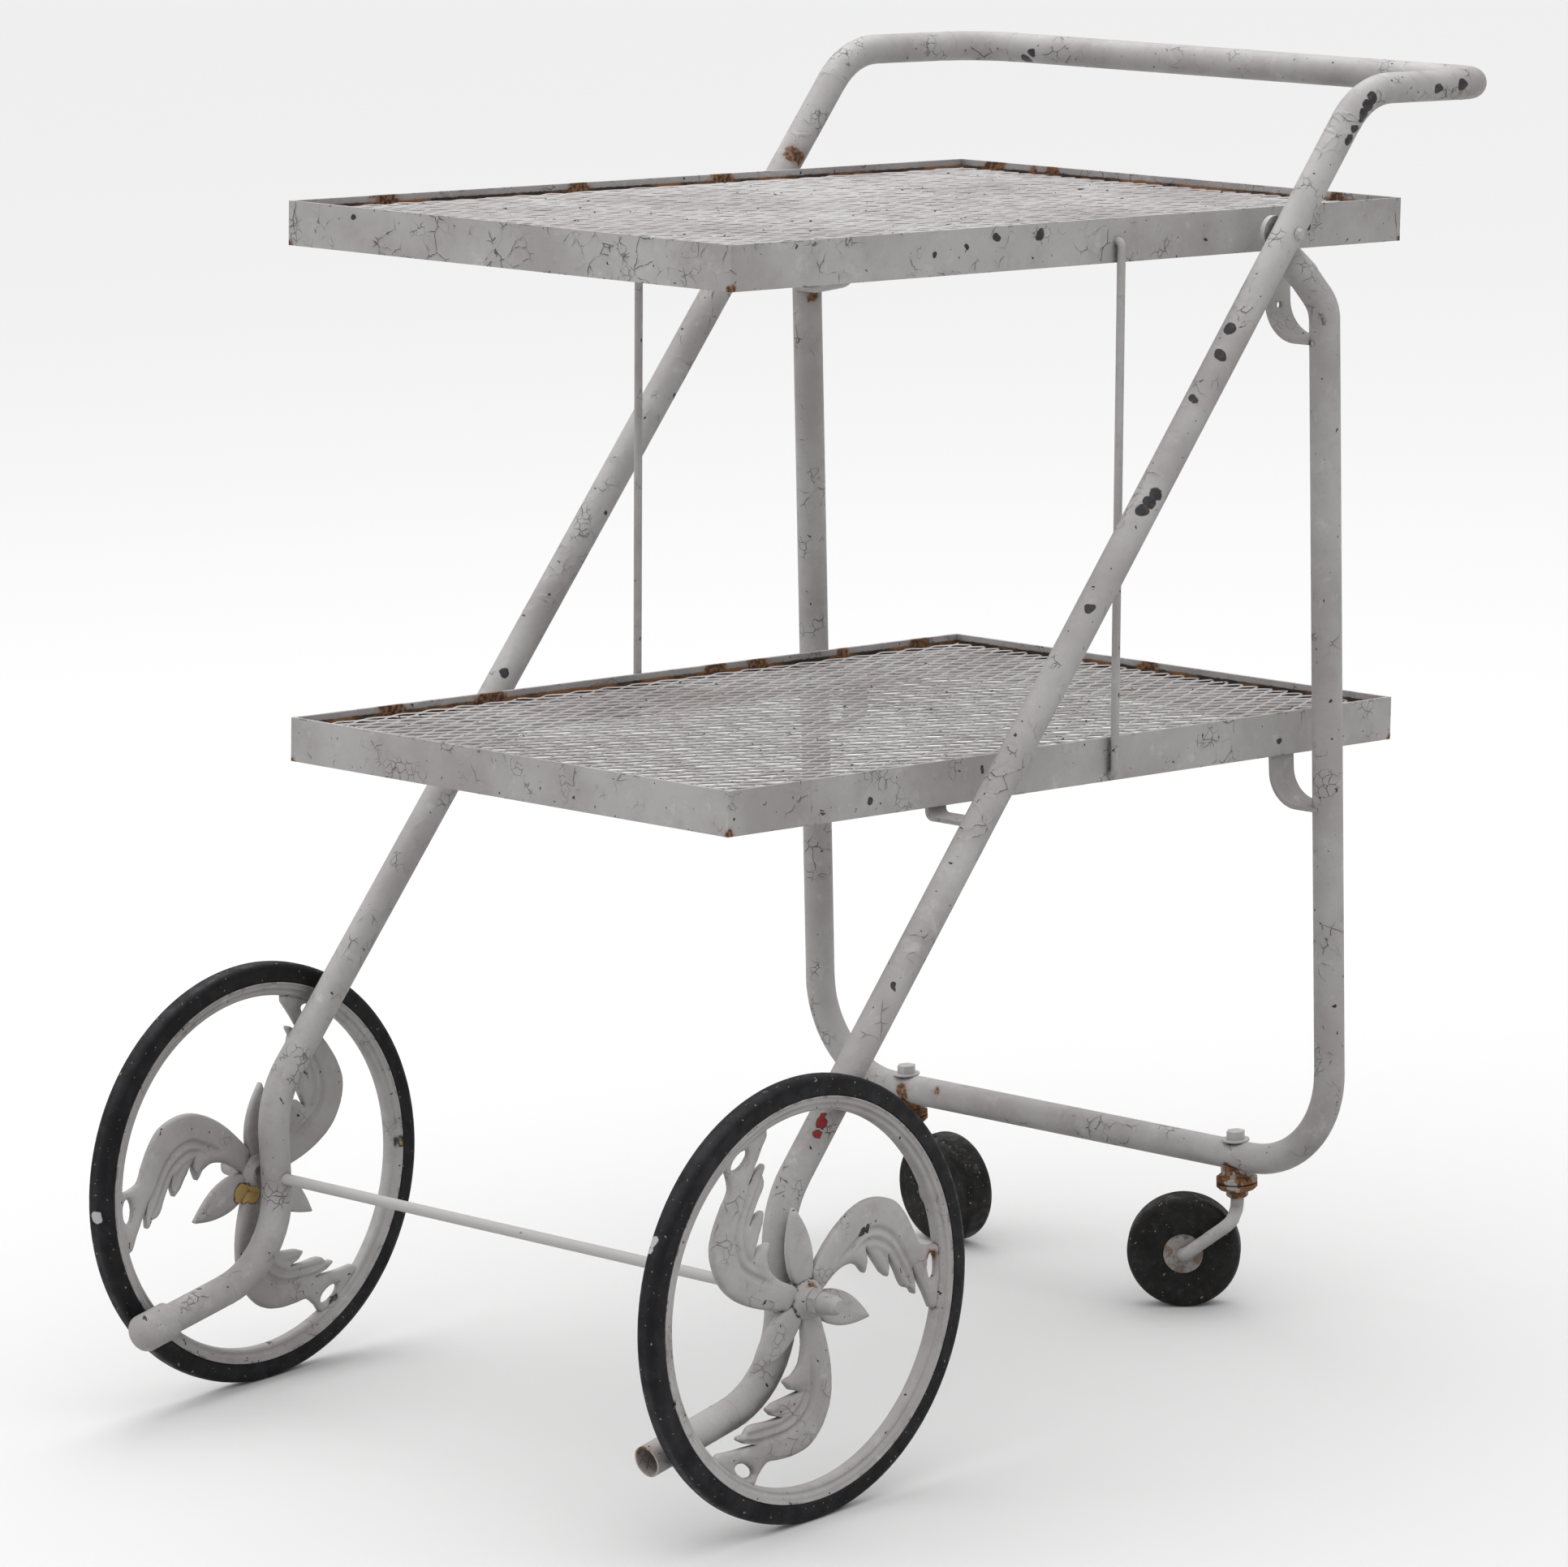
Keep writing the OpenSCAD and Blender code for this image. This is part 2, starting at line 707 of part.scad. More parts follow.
// Pointed petal between two leaf spokes, along +X
module petal() {
  half = [for (i = [0:12]) [petal_l * i / 12, petal_w / 2 * pow(sin(180 * pow(i / 12, 0.85)), 0.8)]];
  linear_extrude(spoke_t - 1, center = true)
    polygon(concat(half, [for (i = [11:-1:1]) [half[i].x, -half[i].y]]));
  linear_extrude(spoke_t + vein_h, center = true)
    polygon(stroke([for (i = [2:11]) [petal_l * i / 12, 0]], vein_w * 0.8));
}

// Cast rim: stepped on both faces, with a seat for the tyre
module cast_rim() {
  half = tyre_w / 2;
  inner_r = rim_r - rim_depth;
  face = [[inner_r, half - 3.5], [inner_r + 2, half - 2.5], [inner_r + 4, half - 2.5],
          [inner_r + 5, half - 1], [rim_r - 2.5, half - 1], [rim_r - 1.5, half], [rim_r, half]];
  rotate_extrude()
    polygon(concat(face, [for (i = [len(face) - 1:-1:0]) [face[i].x, -face[i].y]]));
}

// One wheel casting, its axis along +Z
module casting() {
  color(paint)
    difference() {
      union() {
        cast_rim();
        for (k = [0:2]) rotate(120 * k) {
          leaf_spoke();
          rotate(petal_angle) petal();
        }
        cylinder(h = hub_l, d = hub_d - 8, center = true);
        cylinder(h = hub_l * 0.6, d = hub_d, center = true);
      }
      cylinder(h = 2 * hub_l, d = axle_d + 2 * run_fit, center = true);
    }
}

module tyre() {
  half = tyre_w / 2;
  round_r = min(5, half - 1);
  side = concat([[rim_r, half - 1], [rim_r + 1, half], [wheel_r - round_r - 1, half]],
    [for (a = [90:-15:0]) [wheel_r - round_r + round_r * cos(a), half - round_r + round_r * sin(a)]]);
  color(rubber)
    rotate_extrude()
      polygon(concat(side, [for (i = [len(side) - 1:-1:0]) [side[i].x, -side[i].y]]));
}

// Stands a wheel part, drawn about +Z, on one end of the axle with +Z outwards, spun by angle
module at_wheel(side, angle = 0) {
  placed() rotate(side > 0 ? 0 : 180)
    translate([wheel_x, 0, axle_z]) rotate([0, 90, 0]) rotate(90 + angle) children();
}

module wheel_casting_left() { at_wheel(-1, left_spin) casting(); }
module tyre_left() { at_wheel(-1) tyre(); }
module wheel_casting_right() { at_wheel(1, right_spin) casting(); }
module tyre_right() { at_wheel(1) tyre(); }

// Hexagonal cap nut, its seat at z = 0
module cap_nut() {
  color(paint)
    difference() {
      union() {
        cylinder(h = nut_hex_h, d = nut_d, $fn = 6);
        cylinder(h = nut_l - 3, d1 = nut_d - 1.5, d2 = nut_d - 6);
        translate([0, 0, nut_l - 3]) cylinder(h = 3, d1 = nut_d - 6, d2 = nut_d - 11);
      }
      translate([0, 0, -1]) cylinder(h = nut_bore + 1, d = axle_d);
    }
}

module cap_nut_right() {
  placed() translate([nut_x, 0, axle_z]) rotate([0, 90, 0]) cap_nut();
}

module cap_nut_left() { mirror([1, 0, 0]) cap_nut_right(); }

/* Casters */

caster_r = caster_d / 2;
tube_top_z = crossbar_z + tube_r;
tube_low_z = crossbar_z - tube_r;
// Stack under the crossbar, from the top down
race_top_z = tube_low_z - collar_h;
ball_z = race_top_z - race_t - ball_gap / 2;
race_low_z = ball_z - ball_gap / 2;
boss_low_z = race_low_z - race_t - boss_h;
// Side of the wheel where the bent rod runs
rod_side = caster_w / 2 + hub_proud + side_gap + rod_bend_r;

// Places the children at a stem: side is -1 for the left one and 1 for the right one
module at_stem(side, angle = 0) {
  placed() translate([side * stem_x, crossbar_y, 0]) rotate(angle) children();
}

module at_stems() {
  for (side = [-1, 1]) at_stem(side) children();
}

module caster_bolts() {
  color(steel)
    at_stems() {
      translate([0, 0, tube_top_z + bolt_washer_t]) cylinder(h = bolt_head_h, d = bolt_head_d, $fn = 6);
      translate([0, 0, boss_low_z + 2])
        cylinder(h = tube_top_z + bolt_washer_t - boss_low_z - 2, d = caster_bolt_d);
    }
}

module caster_bolt_washers() {
  color(steel)
    at_stems()
      translate([0, 0, tube_top_z])
        linear_extrude(bolt_washer_t) ring(bolt_washer_d / 2, (bolt_washer_d - caster_bolt_d) / 2);
}

// Saddle collars between the crossbar and the top races
module caster_collars() {
  color(rust)
    at_stems()
      difference() {
        translate([0, 0, race_top_z]) linear_extrude(collar_h + collar_saddle)
          ring(collar_d / 2, (collar_d - caster_bolt_d) / 2);
        translate([0, 0, crossbar_z]) rotate([0, 90, 0])
          cylinder(h = 2 * collar_d, r = tube_r, center = true);
      }
}

module caster_top_races() {
  color(rust)
    at_stems()
      rotate_extrude()
        difference() {
          polygon([
            [caster_bolt_d / 2, race_top_z], [race_d / 2 - 2, race_top_z],
            [race_d / 2, race_top_z - 1.5], [race_d / 2, race_top_z - race_t],
            [caster_bolt_d / 2, race_top_z - race_t]
          ]);
          translate([ball_track_d / 2, ball_z]) circle(d = ball_d, $fn = 32);
        }
}

module caster_balls() {
  color(steel)
    at_stems()
      for (k = [0:ball_n - 1]) rotate(360 * k / ball_n)
        translate([ball_track_d / 2, 0, ball_z]) sphere(d = ball_d, $fn = 32);
}

// Lower race and the boss that holds the bent rod
module caster_race() {
  color(rust)
    rotate_extrude()
      difference() {
        polygon([
          [0, boss_low_z], [boss_d / 2 - 1, boss_low_z], [boss_d / 2, boss_low_z + 1],
          [boss_d / 2, race_low_z - race_t], [race_d / 2 - 2, race_low_z - race_t],
          [race_d / 2, race_low_z - race_t + 2], [race_d / 2, race_low_z],
          [caster_bolt_d / 2 + run_fit, race_low_z],
          [caster_bolt_d / 2 + run_fit, boss_low_z + 2 - side_gap], [0, boss_low_z + 2 - side_gap]
        ]);
        translate([ball_track_d / 2, ball_z]) circle(d = ball_d + 2 * side_gap, $fn = 32);
      }
}

module caster_rod() {
  color(paint)
    bent_tube([
      [0, 0, boss_low_z],
      [0, 0, boss_low_z - rod_neck],
      [rod_kick, rod_side, caster_r + rod_knee],
      [trail, rod_side, caster_r],
      [trail, -caster_w / 2 - hub_proud - side_gap - clip_t, caster_r]
    ], [0, rod_shoulder_r, rod_shoulder_r, rod_bend_r, 0], caster_rod_d / 2);
}

// Stands a part drawn about +Z at the caster's axle, +Z towards the rod
module at_caster_axle() {
  translate([trail, 0, caster_r]) rotate([-90, 0, 0]) children();
}

module caster_core() {
  color(steel)
    at_caster_axle()
      rotate_extrude()
        polygon([
          [caster_rod_d / 2 + run_fit, -caster_w / 2 - hub_proud],
          [core_disc_d / 2, -caster_w / 2 - hub_proud], [core_disc_d / 2, -caster_w / 2],
          [core_barrel_d / 2, -caster_w / 2], [core_barrel_d / 2, caster_w / 2],
          [core_disc_d / 2, caster_w / 2], [core_disc_d / 2, caster_w / 2 + hub_proud],
          [caster_rod_d / 2 + run_fit, caster_w / 2 + hub_proud]
        ]);
}

module caster_tyre() {
  half = caster_w / 2;
  shoulder = min(6, half - 2);
  side = concat([[core_barrel_d / 2, half], [caster_r - shoulder, half]],
    [for (a = [75:-15:0]) [caster_r - shoulder + shoulder * cos(a), half - shoulder + shoulder * sin(a)]]);
  color(rubber)
    at_caster_axle()
      rotate_extrude()
        polygon(concat(side, [for (i = [len(side) - 1:-1:0]) [side[i].x, -side[i].y]]));
}

// Push-on clip that holds the wheel on the rod's inner end
module caster_clip() {
  color(steel)
    at_caster_axle()
      translate([0, 0, -caster_w / 2 - hub_proud - side_gap - clip_t])
        linear_extrude(clip_t) ring(caster_rod_d / 2 + 3, 3);
}

module caster_race_left() { at_stem(-1, left_swivel) caster_race(); }
module caster_rod_left() { at_stem(-1, left_swivel) caster_rod(); }
module caster_core_left() { at_stem(-1, left_swivel) caster_core(); }
module caster_tyre_left() { at_stem(-1, left_swivel) caster_tyre(); }
module caster_clip_left() { at_stem(-1, left_swivel) caster_clip(); }
module caster_race_right() { at_stem(1, right_swivel) caster_race(); }
module caster_rod_right() { at_stem(1, right_swivel) caster_rod(); }
module caster_core_right() { at_stem(1, right_swivel) caster_core(); }
module caster_tyre_right() { at_stem(1, right_swivel) caster_tyre(); }
module caster_clip_right() { at_stem(1, right_swivel) caster_clip(); }
/* One line for each piece */

handle_frame();
rear_frame();
toe_cap();
frame_rivets();
top_shelf_rim();
top_shelf_mesh();
lower_shelf_rim();
lower_shelf_mesh();
tie_rod_left();
tie_rod_right();
top_strap_left();
top_strap_right();
lower_strap_left();
lower_strap_right();
front_strap_left();
front_strap_right();
axle_rod();
axle_washers();
wheel_casting_left();
tyre_left();
cap_nut_left();
wheel_casting_right();
tyre_right();
cap_nut_right();
caster_bolts();
caster_bolt_washers();
caster_collars();
caster_top_races();
caster_balls();
caster_race_left();
caster_rod_left();
caster_clip_left();
caster_core_left();
caster_tyre_left();
caster_race_right();
caster_rod_right();
caster_clip_right();
caster_core_right();
caster_tyre_right();
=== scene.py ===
"""Looks of the two-tier serving cart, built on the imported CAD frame."""

import math
import random

import bmesh
import bpy
import numpy as np
from mathutils import Matrix, Vector
from mathutils.geometry import delaunay_2d_cdt


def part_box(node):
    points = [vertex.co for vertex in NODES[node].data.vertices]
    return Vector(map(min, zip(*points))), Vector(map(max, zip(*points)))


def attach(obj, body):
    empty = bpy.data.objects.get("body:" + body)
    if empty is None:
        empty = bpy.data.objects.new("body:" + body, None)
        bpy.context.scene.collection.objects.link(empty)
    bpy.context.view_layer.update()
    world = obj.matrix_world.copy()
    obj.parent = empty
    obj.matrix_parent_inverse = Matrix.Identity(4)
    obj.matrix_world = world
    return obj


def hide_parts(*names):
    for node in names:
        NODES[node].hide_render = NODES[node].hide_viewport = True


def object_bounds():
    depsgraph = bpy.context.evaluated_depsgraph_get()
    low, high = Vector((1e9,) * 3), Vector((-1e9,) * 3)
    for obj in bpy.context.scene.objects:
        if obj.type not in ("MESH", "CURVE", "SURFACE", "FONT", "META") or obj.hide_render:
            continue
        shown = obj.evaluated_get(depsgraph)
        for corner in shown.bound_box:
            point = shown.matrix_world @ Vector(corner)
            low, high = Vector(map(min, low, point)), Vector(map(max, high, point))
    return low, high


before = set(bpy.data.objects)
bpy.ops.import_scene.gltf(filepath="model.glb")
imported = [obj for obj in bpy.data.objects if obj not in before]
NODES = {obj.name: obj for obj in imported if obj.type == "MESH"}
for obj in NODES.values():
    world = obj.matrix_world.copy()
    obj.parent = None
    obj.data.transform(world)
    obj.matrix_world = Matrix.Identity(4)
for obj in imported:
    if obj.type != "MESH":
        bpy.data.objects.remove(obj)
CAD_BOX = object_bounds()
MM = 0.001
FLOOR_Z = CAD_BOX[0][2]
FLOOR_HALF = 30
FLOOR_GREY = 0.60
# Strength of the sky at the horizon and overhead, and of the backdrop that the camera sees
SKY_LOW, SKY_HIGH, BACKDROP = 0.14, 2.0, 1.0
# Camera: yaw, pitch and roll in degrees, the point it looks past and its distance in metres
CAMERA_TURN = (44.66, 12.15, -2.23)
CAMERA_AIM = (0.230858, -0.27383, 0.491578)
CAMERA_DISTANCE = 5.1471
CAMERA_LENS = 177.34
SENSOR_WIDTH = 36
# What both lamps point at
LAMP_TARGET = (0, 0, 0.5)

scene = bpy.context.scene


# ---------------------------------------------------------------- camera and light

def make_camera():
    """Camera at the photograph's viewing angle."""
    yaw, pitch, roll = (math.radians(a) for a in CAMERA_TURN)
    back = Vector((
        math.sin(yaw) * math.cos(pitch),
        -math.cos(yaw) * math.cos(pitch),
        math.sin(pitch),
    ))
    level = Vector((0, 0, 1)).cross(back).normalized()
    rise = back.cross(level)
    right = math.cos(roll) * level + math.sin(roll) * rise
    up = -math.sin(roll) * level + math.cos(roll) * rise
    place = Vector(CAMERA_AIM) + CAMERA_DISTANCE * back
    data = bpy.data.cameras.new("camera")
    data.sensor_width = SENSOR_WIDTH
    data.lens = CAMERA_LENS
    data.clip_end = 100
    cam = bpy.data.objects.new("camera", data)
    cam.matrix_world = Matrix((
        (right.x, up.x, back.x, place.x),
        (right.y, up.y, back.y, place.y),
        (right.z, up.z, back.z, place.z),
        (0, 0, 0, 1),
    ))
    scene.collection.objects.link(cam)
    scene.camera = cam


def area_light(name, place, size, power):
    """Round white area light, in metres and watts, pointed at LAMP_TARGET."""
    data = bpy.data.lights.new(name, "AREA")
    data.shape = "DISK"
    data.size = size
    data.energy = power
    lamp = bpy.data.objects.new(name, data)
    lamp.location = place
    lamp.rotation_euler = (Vector(LAMP_TARGET) - Vector(place)).to_track_quat("-Z", "Y").to_euler()
    scene.collection.objects.link(lamp)


def make_stage():
    """Plain pale floor, soft sky and two lamps."""
    mesh = bpy.data.meshes.new("floor")
    corners = ((-1, -1), (1, -1), (1, 1), (-1, 1))
    mesh.from_pydata(
        [(x * FLOOR_HALF, y * FLOOR_HALF, FLOOR_Z) for x, y in corners], [], [(0, 1, 2, 3)])
    floor = bpy.data.objects.new("floor", mesh)
    scene.collection.objects.link(floor)
    mat = bpy.data.materials.new("floor")
    mat.use_nodes = True
    shader = mat.node_tree.nodes["Principled BSDF"]
    shader.inputs["Base Color"].default_value = (*[FLOOR_GREY] * 3, 1)
    shader.inputs["Roughness"].default_value = 0.95
    shader.inputs["Specular IOR Level"].default_value = 0.0
    mesh.materials.append(mat)

    # A sky that is bright overhead and dim at the horizon, before a white backdrop
    world = bpy.data.worlds.new("studio")
    world.use_nodes = True
    nodes, links = world.node_tree.nodes, world.node_tree.links
    split = nodes.new("ShaderNodeSeparateXYZ")
    links.new(nodes.new("ShaderNodeTexCoord").outputs["Generated"], split.inputs[0])
    sky = nodes.new("ShaderNodeMapRange")
    sky.interpolation_type = "SMOOTHSTEP"
    links.new(split.outputs["Z"], sky.inputs["Value"])
    sky.inputs["To Min"].default_value = SKY_LOW
    sky.inputs["To Max"].default_value = SKY_HIGH
    seen = nodes.new("ShaderNodeLightPath").outputs["Is Camera Ray"]
    blend = nodes.new("ShaderNodeMix")
    links.new(seen, blend.inputs[0])
    links.new(sky.outputs["Result"], blend.inputs[2])
    blend.inputs[3].default_value = BACKDROP
    links.new(blend.outputs[0], nodes["Background"].inputs["Strength"])
    nodes["Background"].inputs["Color"].default_value = (1, 1, 1, 1)
    scene.world = world
    scene.view_settings.view_transform = "Standard"
    area_light("overhead", (-1.3, 1.0, 3.6), 2.4, 40)
    area_light("front_left", (-3.2, -2.2, 1.4), 1.8, 12)


make_camera()
make_stage()


# ---------------------------------------------------------------- node helpers

class Tree:
    """Short calls that add shader nodes to a material."""

    def __init__(self, name):
        self.mat = bpy.data.materials.new(name)
        self.mat.use_nodes = True
        self.tree = self.mat.node_tree
        self.shader = self.tree.nodes["Principled BSDF"]
        self.coord = self.add("ShaderNodeTexCoord").outputs["Object"]

    def add(self, kind, **settings):
        node = self.tree.nodes.new(kind)
        for key, value in settings.items():
            setattr(node, key, value)
        return node

    def feed(self, socket, value):
        if isinstance(value, bpy.types.NodeSocket):
            self.tree.links.new(value, socket)
        elif isinstance(value, (tuple, list)) and len(value) == 3 and socket.type == "RGBA":
            socket.default_value = (*value, 1)
        else:
            socket.default_value = value

    def noise(self, scale, detail=3, rough=0.55, vector=None, distortion=0.0):
        n = self.add("ShaderNodeTexNoise")
        self.feed(n.inputs["Vector"], vector or self.coord)
        n.inputs["Scale"].default_value = scale
        n.inputs["Detail"].default_value = detail
        n.inputs["Roughness"].default_value = rough
        n.inputs["Distortion"].default_value = distortion
        return n.outputs["Fac"]

    def cells(self, scale, vector=None, feature="DISTANCE_TO_EDGE"):
        n = self.add("ShaderNodeTexVoronoi", feature=feature)
        self.feed(n.inputs["Vector"], vector or self.coord)
        n.inputs["Scale"].default_value = scale
        return n.outputs["Distance"]

    def math(self, op, a, b=0.0, clamp=False):
        n = self.add("ShaderNodeMath", operation=op, use_clamp=clamp)
        self.feed(n.inputs[0], a)
        self.feed(n.inputs[1], b)
        return n.outputs[0]

    def band(self, value, low, high, to_low=0.0, to_high=1.0):
        """Smooth step of value from low to high."""
        n = self.add("ShaderNodeMapRange", interpolation_type="SMOOTHSTEP")
        self.feed(n.inputs["Value"], value)
        n.inputs["From Min"].default_value = low
        n.inputs["From Max"].default_value = high
        n.inputs["To Min"].default_value = to_low
        n.inputs["To Max"].default_value = to_high
        return n.outputs["Result"]

    def mix(self, fac, a, b):
        n = self.add("ShaderNodeMix", data_type="RGBA")
        self.feed(n.inputs[0], fac)
        self.feed(n.inputs[6], a)
        self.feed(n.inputs[7], b)
        return n.outputs[2]

    def warp(self, scale, amount):
        """Object coordinates pushed about by a coloured noise."""
        n = self.add("ShaderNodeTexNoise")
        self.feed(n.inputs["Vector"], self.coord)
        n.inputs["Scale"].default_value = scale
        n.inputs["Detail"].default_value = 3
        centred = self.add("ShaderNodeVectorMath", operation="SUBTRACT")
        self.feed(centred.inputs[0], n.outputs["Color"])
        centred.inputs[1].default_value = (0.5, 0.5, 0.5)
        scaled = self.add("ShaderNodeVectorMath", operation="SCALE")
        self.feed(scaled.inputs[0], centred.outputs[0])
        scaled.inputs["Scale"].default_value = amount
        moved = self.add("ShaderNodeVectorMath", operation="ADD")
        self.feed(moved.inputs[0], self.coord)
        self.feed(moved.inputs[1], scaled.outputs[0])
        return moved.outputs[0]

    def distance(self, vector, point):
        n = self.add("ShaderNodeVectorMath", operation="DISTANCE")
        self.feed(n.inputs[0], vector)
        n.inputs[1].default_value = point
        return n.outputs["Value"]

    def shade(self, reach, inside=False):
        """1 in the open, falling to 0 in crevices, or at sharp outer edges where inside is True."""
        n = self.add("ShaderNodeAmbientOcclusion", samples=6, inside=inside, only_local=inside)
        n.inputs["Distance"].default_value = reach
        return n.outputs["AO"]

    def facing(self, index):
        """Component of the surface's normal, index 2 for up."""
        n = self.add("ShaderNodeSeparateXYZ")
        self.feed(n.inputs[0], self.add("ShaderNodeNewGeometry").outputs["Normal"])
        return n.outputs[index]

    def along(self, direction, origin=(0, 0, 0)):
        """Distance of the point from a plane through origin, measured along direction."""
        n = self.add("ShaderNodeVectorMath", operation="DOT_PRODUCT")
        self.feed(n.inputs[0], self.coord)
        n.inputs[1].default_value = direction
        offset = float(Vector(direction).dot(Vector(origin)))
        return self.math("SUBTRACT", n.outputs["Value"], offset)

    def bump(self, height, distance, strength=1.0, normal=None):
        n = self.add("ShaderNodeBump")
        self.feed(n.inputs["Height"], height)
        n.inputs["Distance"].default_value = distance
        n.inputs["Strength"].default_value = strength
        if normal is not None:
            self.feed(n.inputs["Normal"], normal)
        return n.outputs["Normal"]

    def finish(self, colour, roughness, normal=None, metallic=0.0, gloss=0.5):
        self.feed(self.shader.inputs["Base Color"], colour)
        self.feed(self.shader.inputs["Roughness"], roughness)
        self.feed(self.shader.inputs["Metallic"], metallic)
        self.shader.inputs["Specular IOR Level"].default_value = gloss
        if normal is not None:
            self.feed(self.shader.inputs["Normal"], normal)
        return self.mat


RUST_DARK = (0.040, 0.020, 0.012)
RUST_LIGHT = (0.22, 0.105, 0.045)
IRON = (0.020, 0.020, 0.025)
# The next colour is soiling and also the painted shade on undersides and in crevices
GRIME_AND_SHADE = (0.085, 0.075, 0.068)
PRIMER = (0.22, 0.012, 0.010)
OCHRE = (0.36, 0.24, 0.085)
CREAM = (0.385, 0.372, 0.371)


def spots(t, vector, places, soft=0.86):
    """Mask that is 1 near each of the places, (place, radius) in metres."""
    mask = None
    for place, radius in places:
        near = t.band(t.distance(vector, place), radius * soft, radius, 1.0, 0.0)
        mask = near if mask is None else t.math("MAXIMUM", mask, near)
    return mask


# Its soiling setting also scales the painted shade on undersides and in crevices
def old_paint(name, tone=CREAM, cracks=1.0, chips=(), rust=(), soiling_and_shade=1.0, speck=1.0,
              primer=(), ochre=(), edges=0.5, crevice=0.016, seam=None):
    """Old off-white paint over iron: mottled, cracked, chipped and rusty at the places given.

    chips, rust, primer and ochre are lists of (place, radius) in metres. seam is the (y0, z0) of a
    shelf whose rim has a dark, rusty gap inside, where the expanded metal meets it.
    """
    t = Tree(name)
    wavy = t.warp(55, 0.012)
    fine_wavy = t.warp(240, 0.004)
    # Mottle, grime and dust
    broad = t.band(t.noise(9, 5, 0.6), 0.34, 0.68)
    colour = t.mix(broad, tone, tuple(c * k for c, k in zip(tone, (0.76, 0.74, 0.735))))
    cloud = t.band(t.noise(38, 6, 0.7), 0.48, 0.74)
    colour = t.mix(t.math("MULTIPLY", cloud, 0.38 * soiling_and_shade), colour, (0.225, 0.205, 0.195))
    pale = t.band(t.noise(64, 5, 0.7), 0.56, 0.74)
    colour = t.mix(t.math("MULTIPLY", pale, 0.30), colour, (0.60, 0.59, 0.59))
    dust = t.band(t.noise(430, 3, 0.7), 0.58, 0.80)
    colour = t.mix(t.math("MULTIPLY", dust, 0.40 * soiling_and_shade), colour, (0.16, 0.145, 0.135))
    # Painted shade, with some soiling: faces that point down or sideways are darkened in streaks
    under = t.band(t.facing(2), -0.85, 0.25, 1.0, 0.0)
    streaky = t.band(t.noise(26, 5, 0.7), 0.30, 0.75, 0.35, 1.0)
    underside_shade = t.math("MULTIPLY", under, streaky)
    colour = t.mix(t.math("MULTIPLY", underside_shade, 0.45 * soiling_and_shade), colour, GRIME_AND_SHADE)
    # Painted shade in crevices, found by ambient occlusion and broken up by noise, with some
    # soiling
    deep = t.band(t.shade(crevice), 0.25, 0.80, 1.0, 0.0)
    crevice_shade_and_dirt = t.math("MULTIPLY", deep, t.band(t.noise(120, 4, 0.7), 0.25, 0.62, 0.35, 0.95))
    colour = t.mix(t.math("MULTIPLY", crevice_shade_and_dirt, 0.80 * soiling_and_shade), colour, GRIME_AND_SHADE)
    # Cracks in patches
    patch = t.band(t.noise(19, 3), 0.53, 0.64)
    net = t.cells(62, wavy)
    line = t.band(net, 0.0, 0.024, 1.0, 0.0)
    net_2 = t.cells(150, fine_wavy)
    line_2 = t.band(net_2, 0.0, 0.045, 1.0, 0.0)
    broken = t.band(t.noise(80, 2), 0.47, 0.55)
    crack = t.math("MULTIPLY", t.math("MULTIPLY", line, patch), broken)
    patch_2 = t.band(t.noise(31, 2), 0.59, 0.69)
    crack_2 = t.math("MULTIPLY", t.math("MULTIPLY", line_2, patch_2), 0.8)
    crack = t.math("MULTIPLY", t.math("MAXIMUM", crack, crack_2), cracks, clamp=True)
    # Specks and small chips everywhere, more of them along sharp edges
    dots = t.band(t.noise(190, 2, 0.5, wavy), 0.725 - 0.01 * speck, 0.745)
    bare = t.math("MULTIPLY", dots, speck, clamp=True)
    if edges:
        edge = t.band(t.shade(0.0022, inside=True), 0.45, 0.80, 1.0, 0.0)
        lost = t.band(t.noise(85, 5, 0.75), 0.66 - 0.16 * edges, 0.70 - 0.14 * edges)
        bare = t.math("MAXIMUM", bare, t.math("MULTIPLY", edge, lost))
    chipped = spots(t, wavy, chips)
    if chipped is not None:
        bare = t.math("MAXIMUM", bare, chipped)
    colour = t.mix(t.math("MULTIPLY", crack, 0.90), colour, (0.050, 0.045, 0.043))
    # Rust stains
    stain = spots(t, wavy, rust, 0.0)
    ragged = t.noise(150, 6, 0.75)
    if seam:
        start = (0, (seam[0] - Y_MID) * MM, seam[1] * MM)
        down = t.along((0, -math.sin(SLOPE), -math.cos(SLOPE)), start)
        low_wall = t.band(down, 0.0015, 0.0062)
        side_wall = (SHELF_W / 2 - 1.5) * MM
        for direction in ((1, 0, 0), (-1, 0, 0)):
            within = t.band(t.along(direction), side_wall - 0.0005, side_wall, 1.0, 0.0)
            low_wall = t.math("MULTIPLY", low_wall, within)
        run = t.along((0, math.cos(SLOPE), -math.sin(SLOPE)), start)
        low_wall = t.math("MULTIPLY", low_wall, t.band(run, 0.0010, 0.0016))
        end = SHELF_L * MM
        before_end = t.band(run, end - 0.0016, end - 0.0010, 1.0, 0.0)
        low_wall = t.math("MULTIPLY", low_wall, before_end)
        crusty = t.math("ADD", low_wall, t.math("MULTIPLY", ragged, 0.9))
        black = t.band(crusty, 0.95, 1.20)
        crust = t.mix(t.band(t.noise(22, 4), 0.44, 0.58), (0.018, 0.015, 0.013), RUST_LIGHT)
        colour = t.mix(black, colour, crust)
        if stain is None:
            stain = low_wall
        else:
            stain = t.math("MAXIMUM", stain, t.math("MULTIPLY", low_wall, 0.45))
    if stain is not None:
        core = t.math("ADD", t.math("MULTIPLY", stain, 0.75), t.math("MULTIPLY", ragged, 0.7))
        strong = t.band(core, 0.78, 0.92)
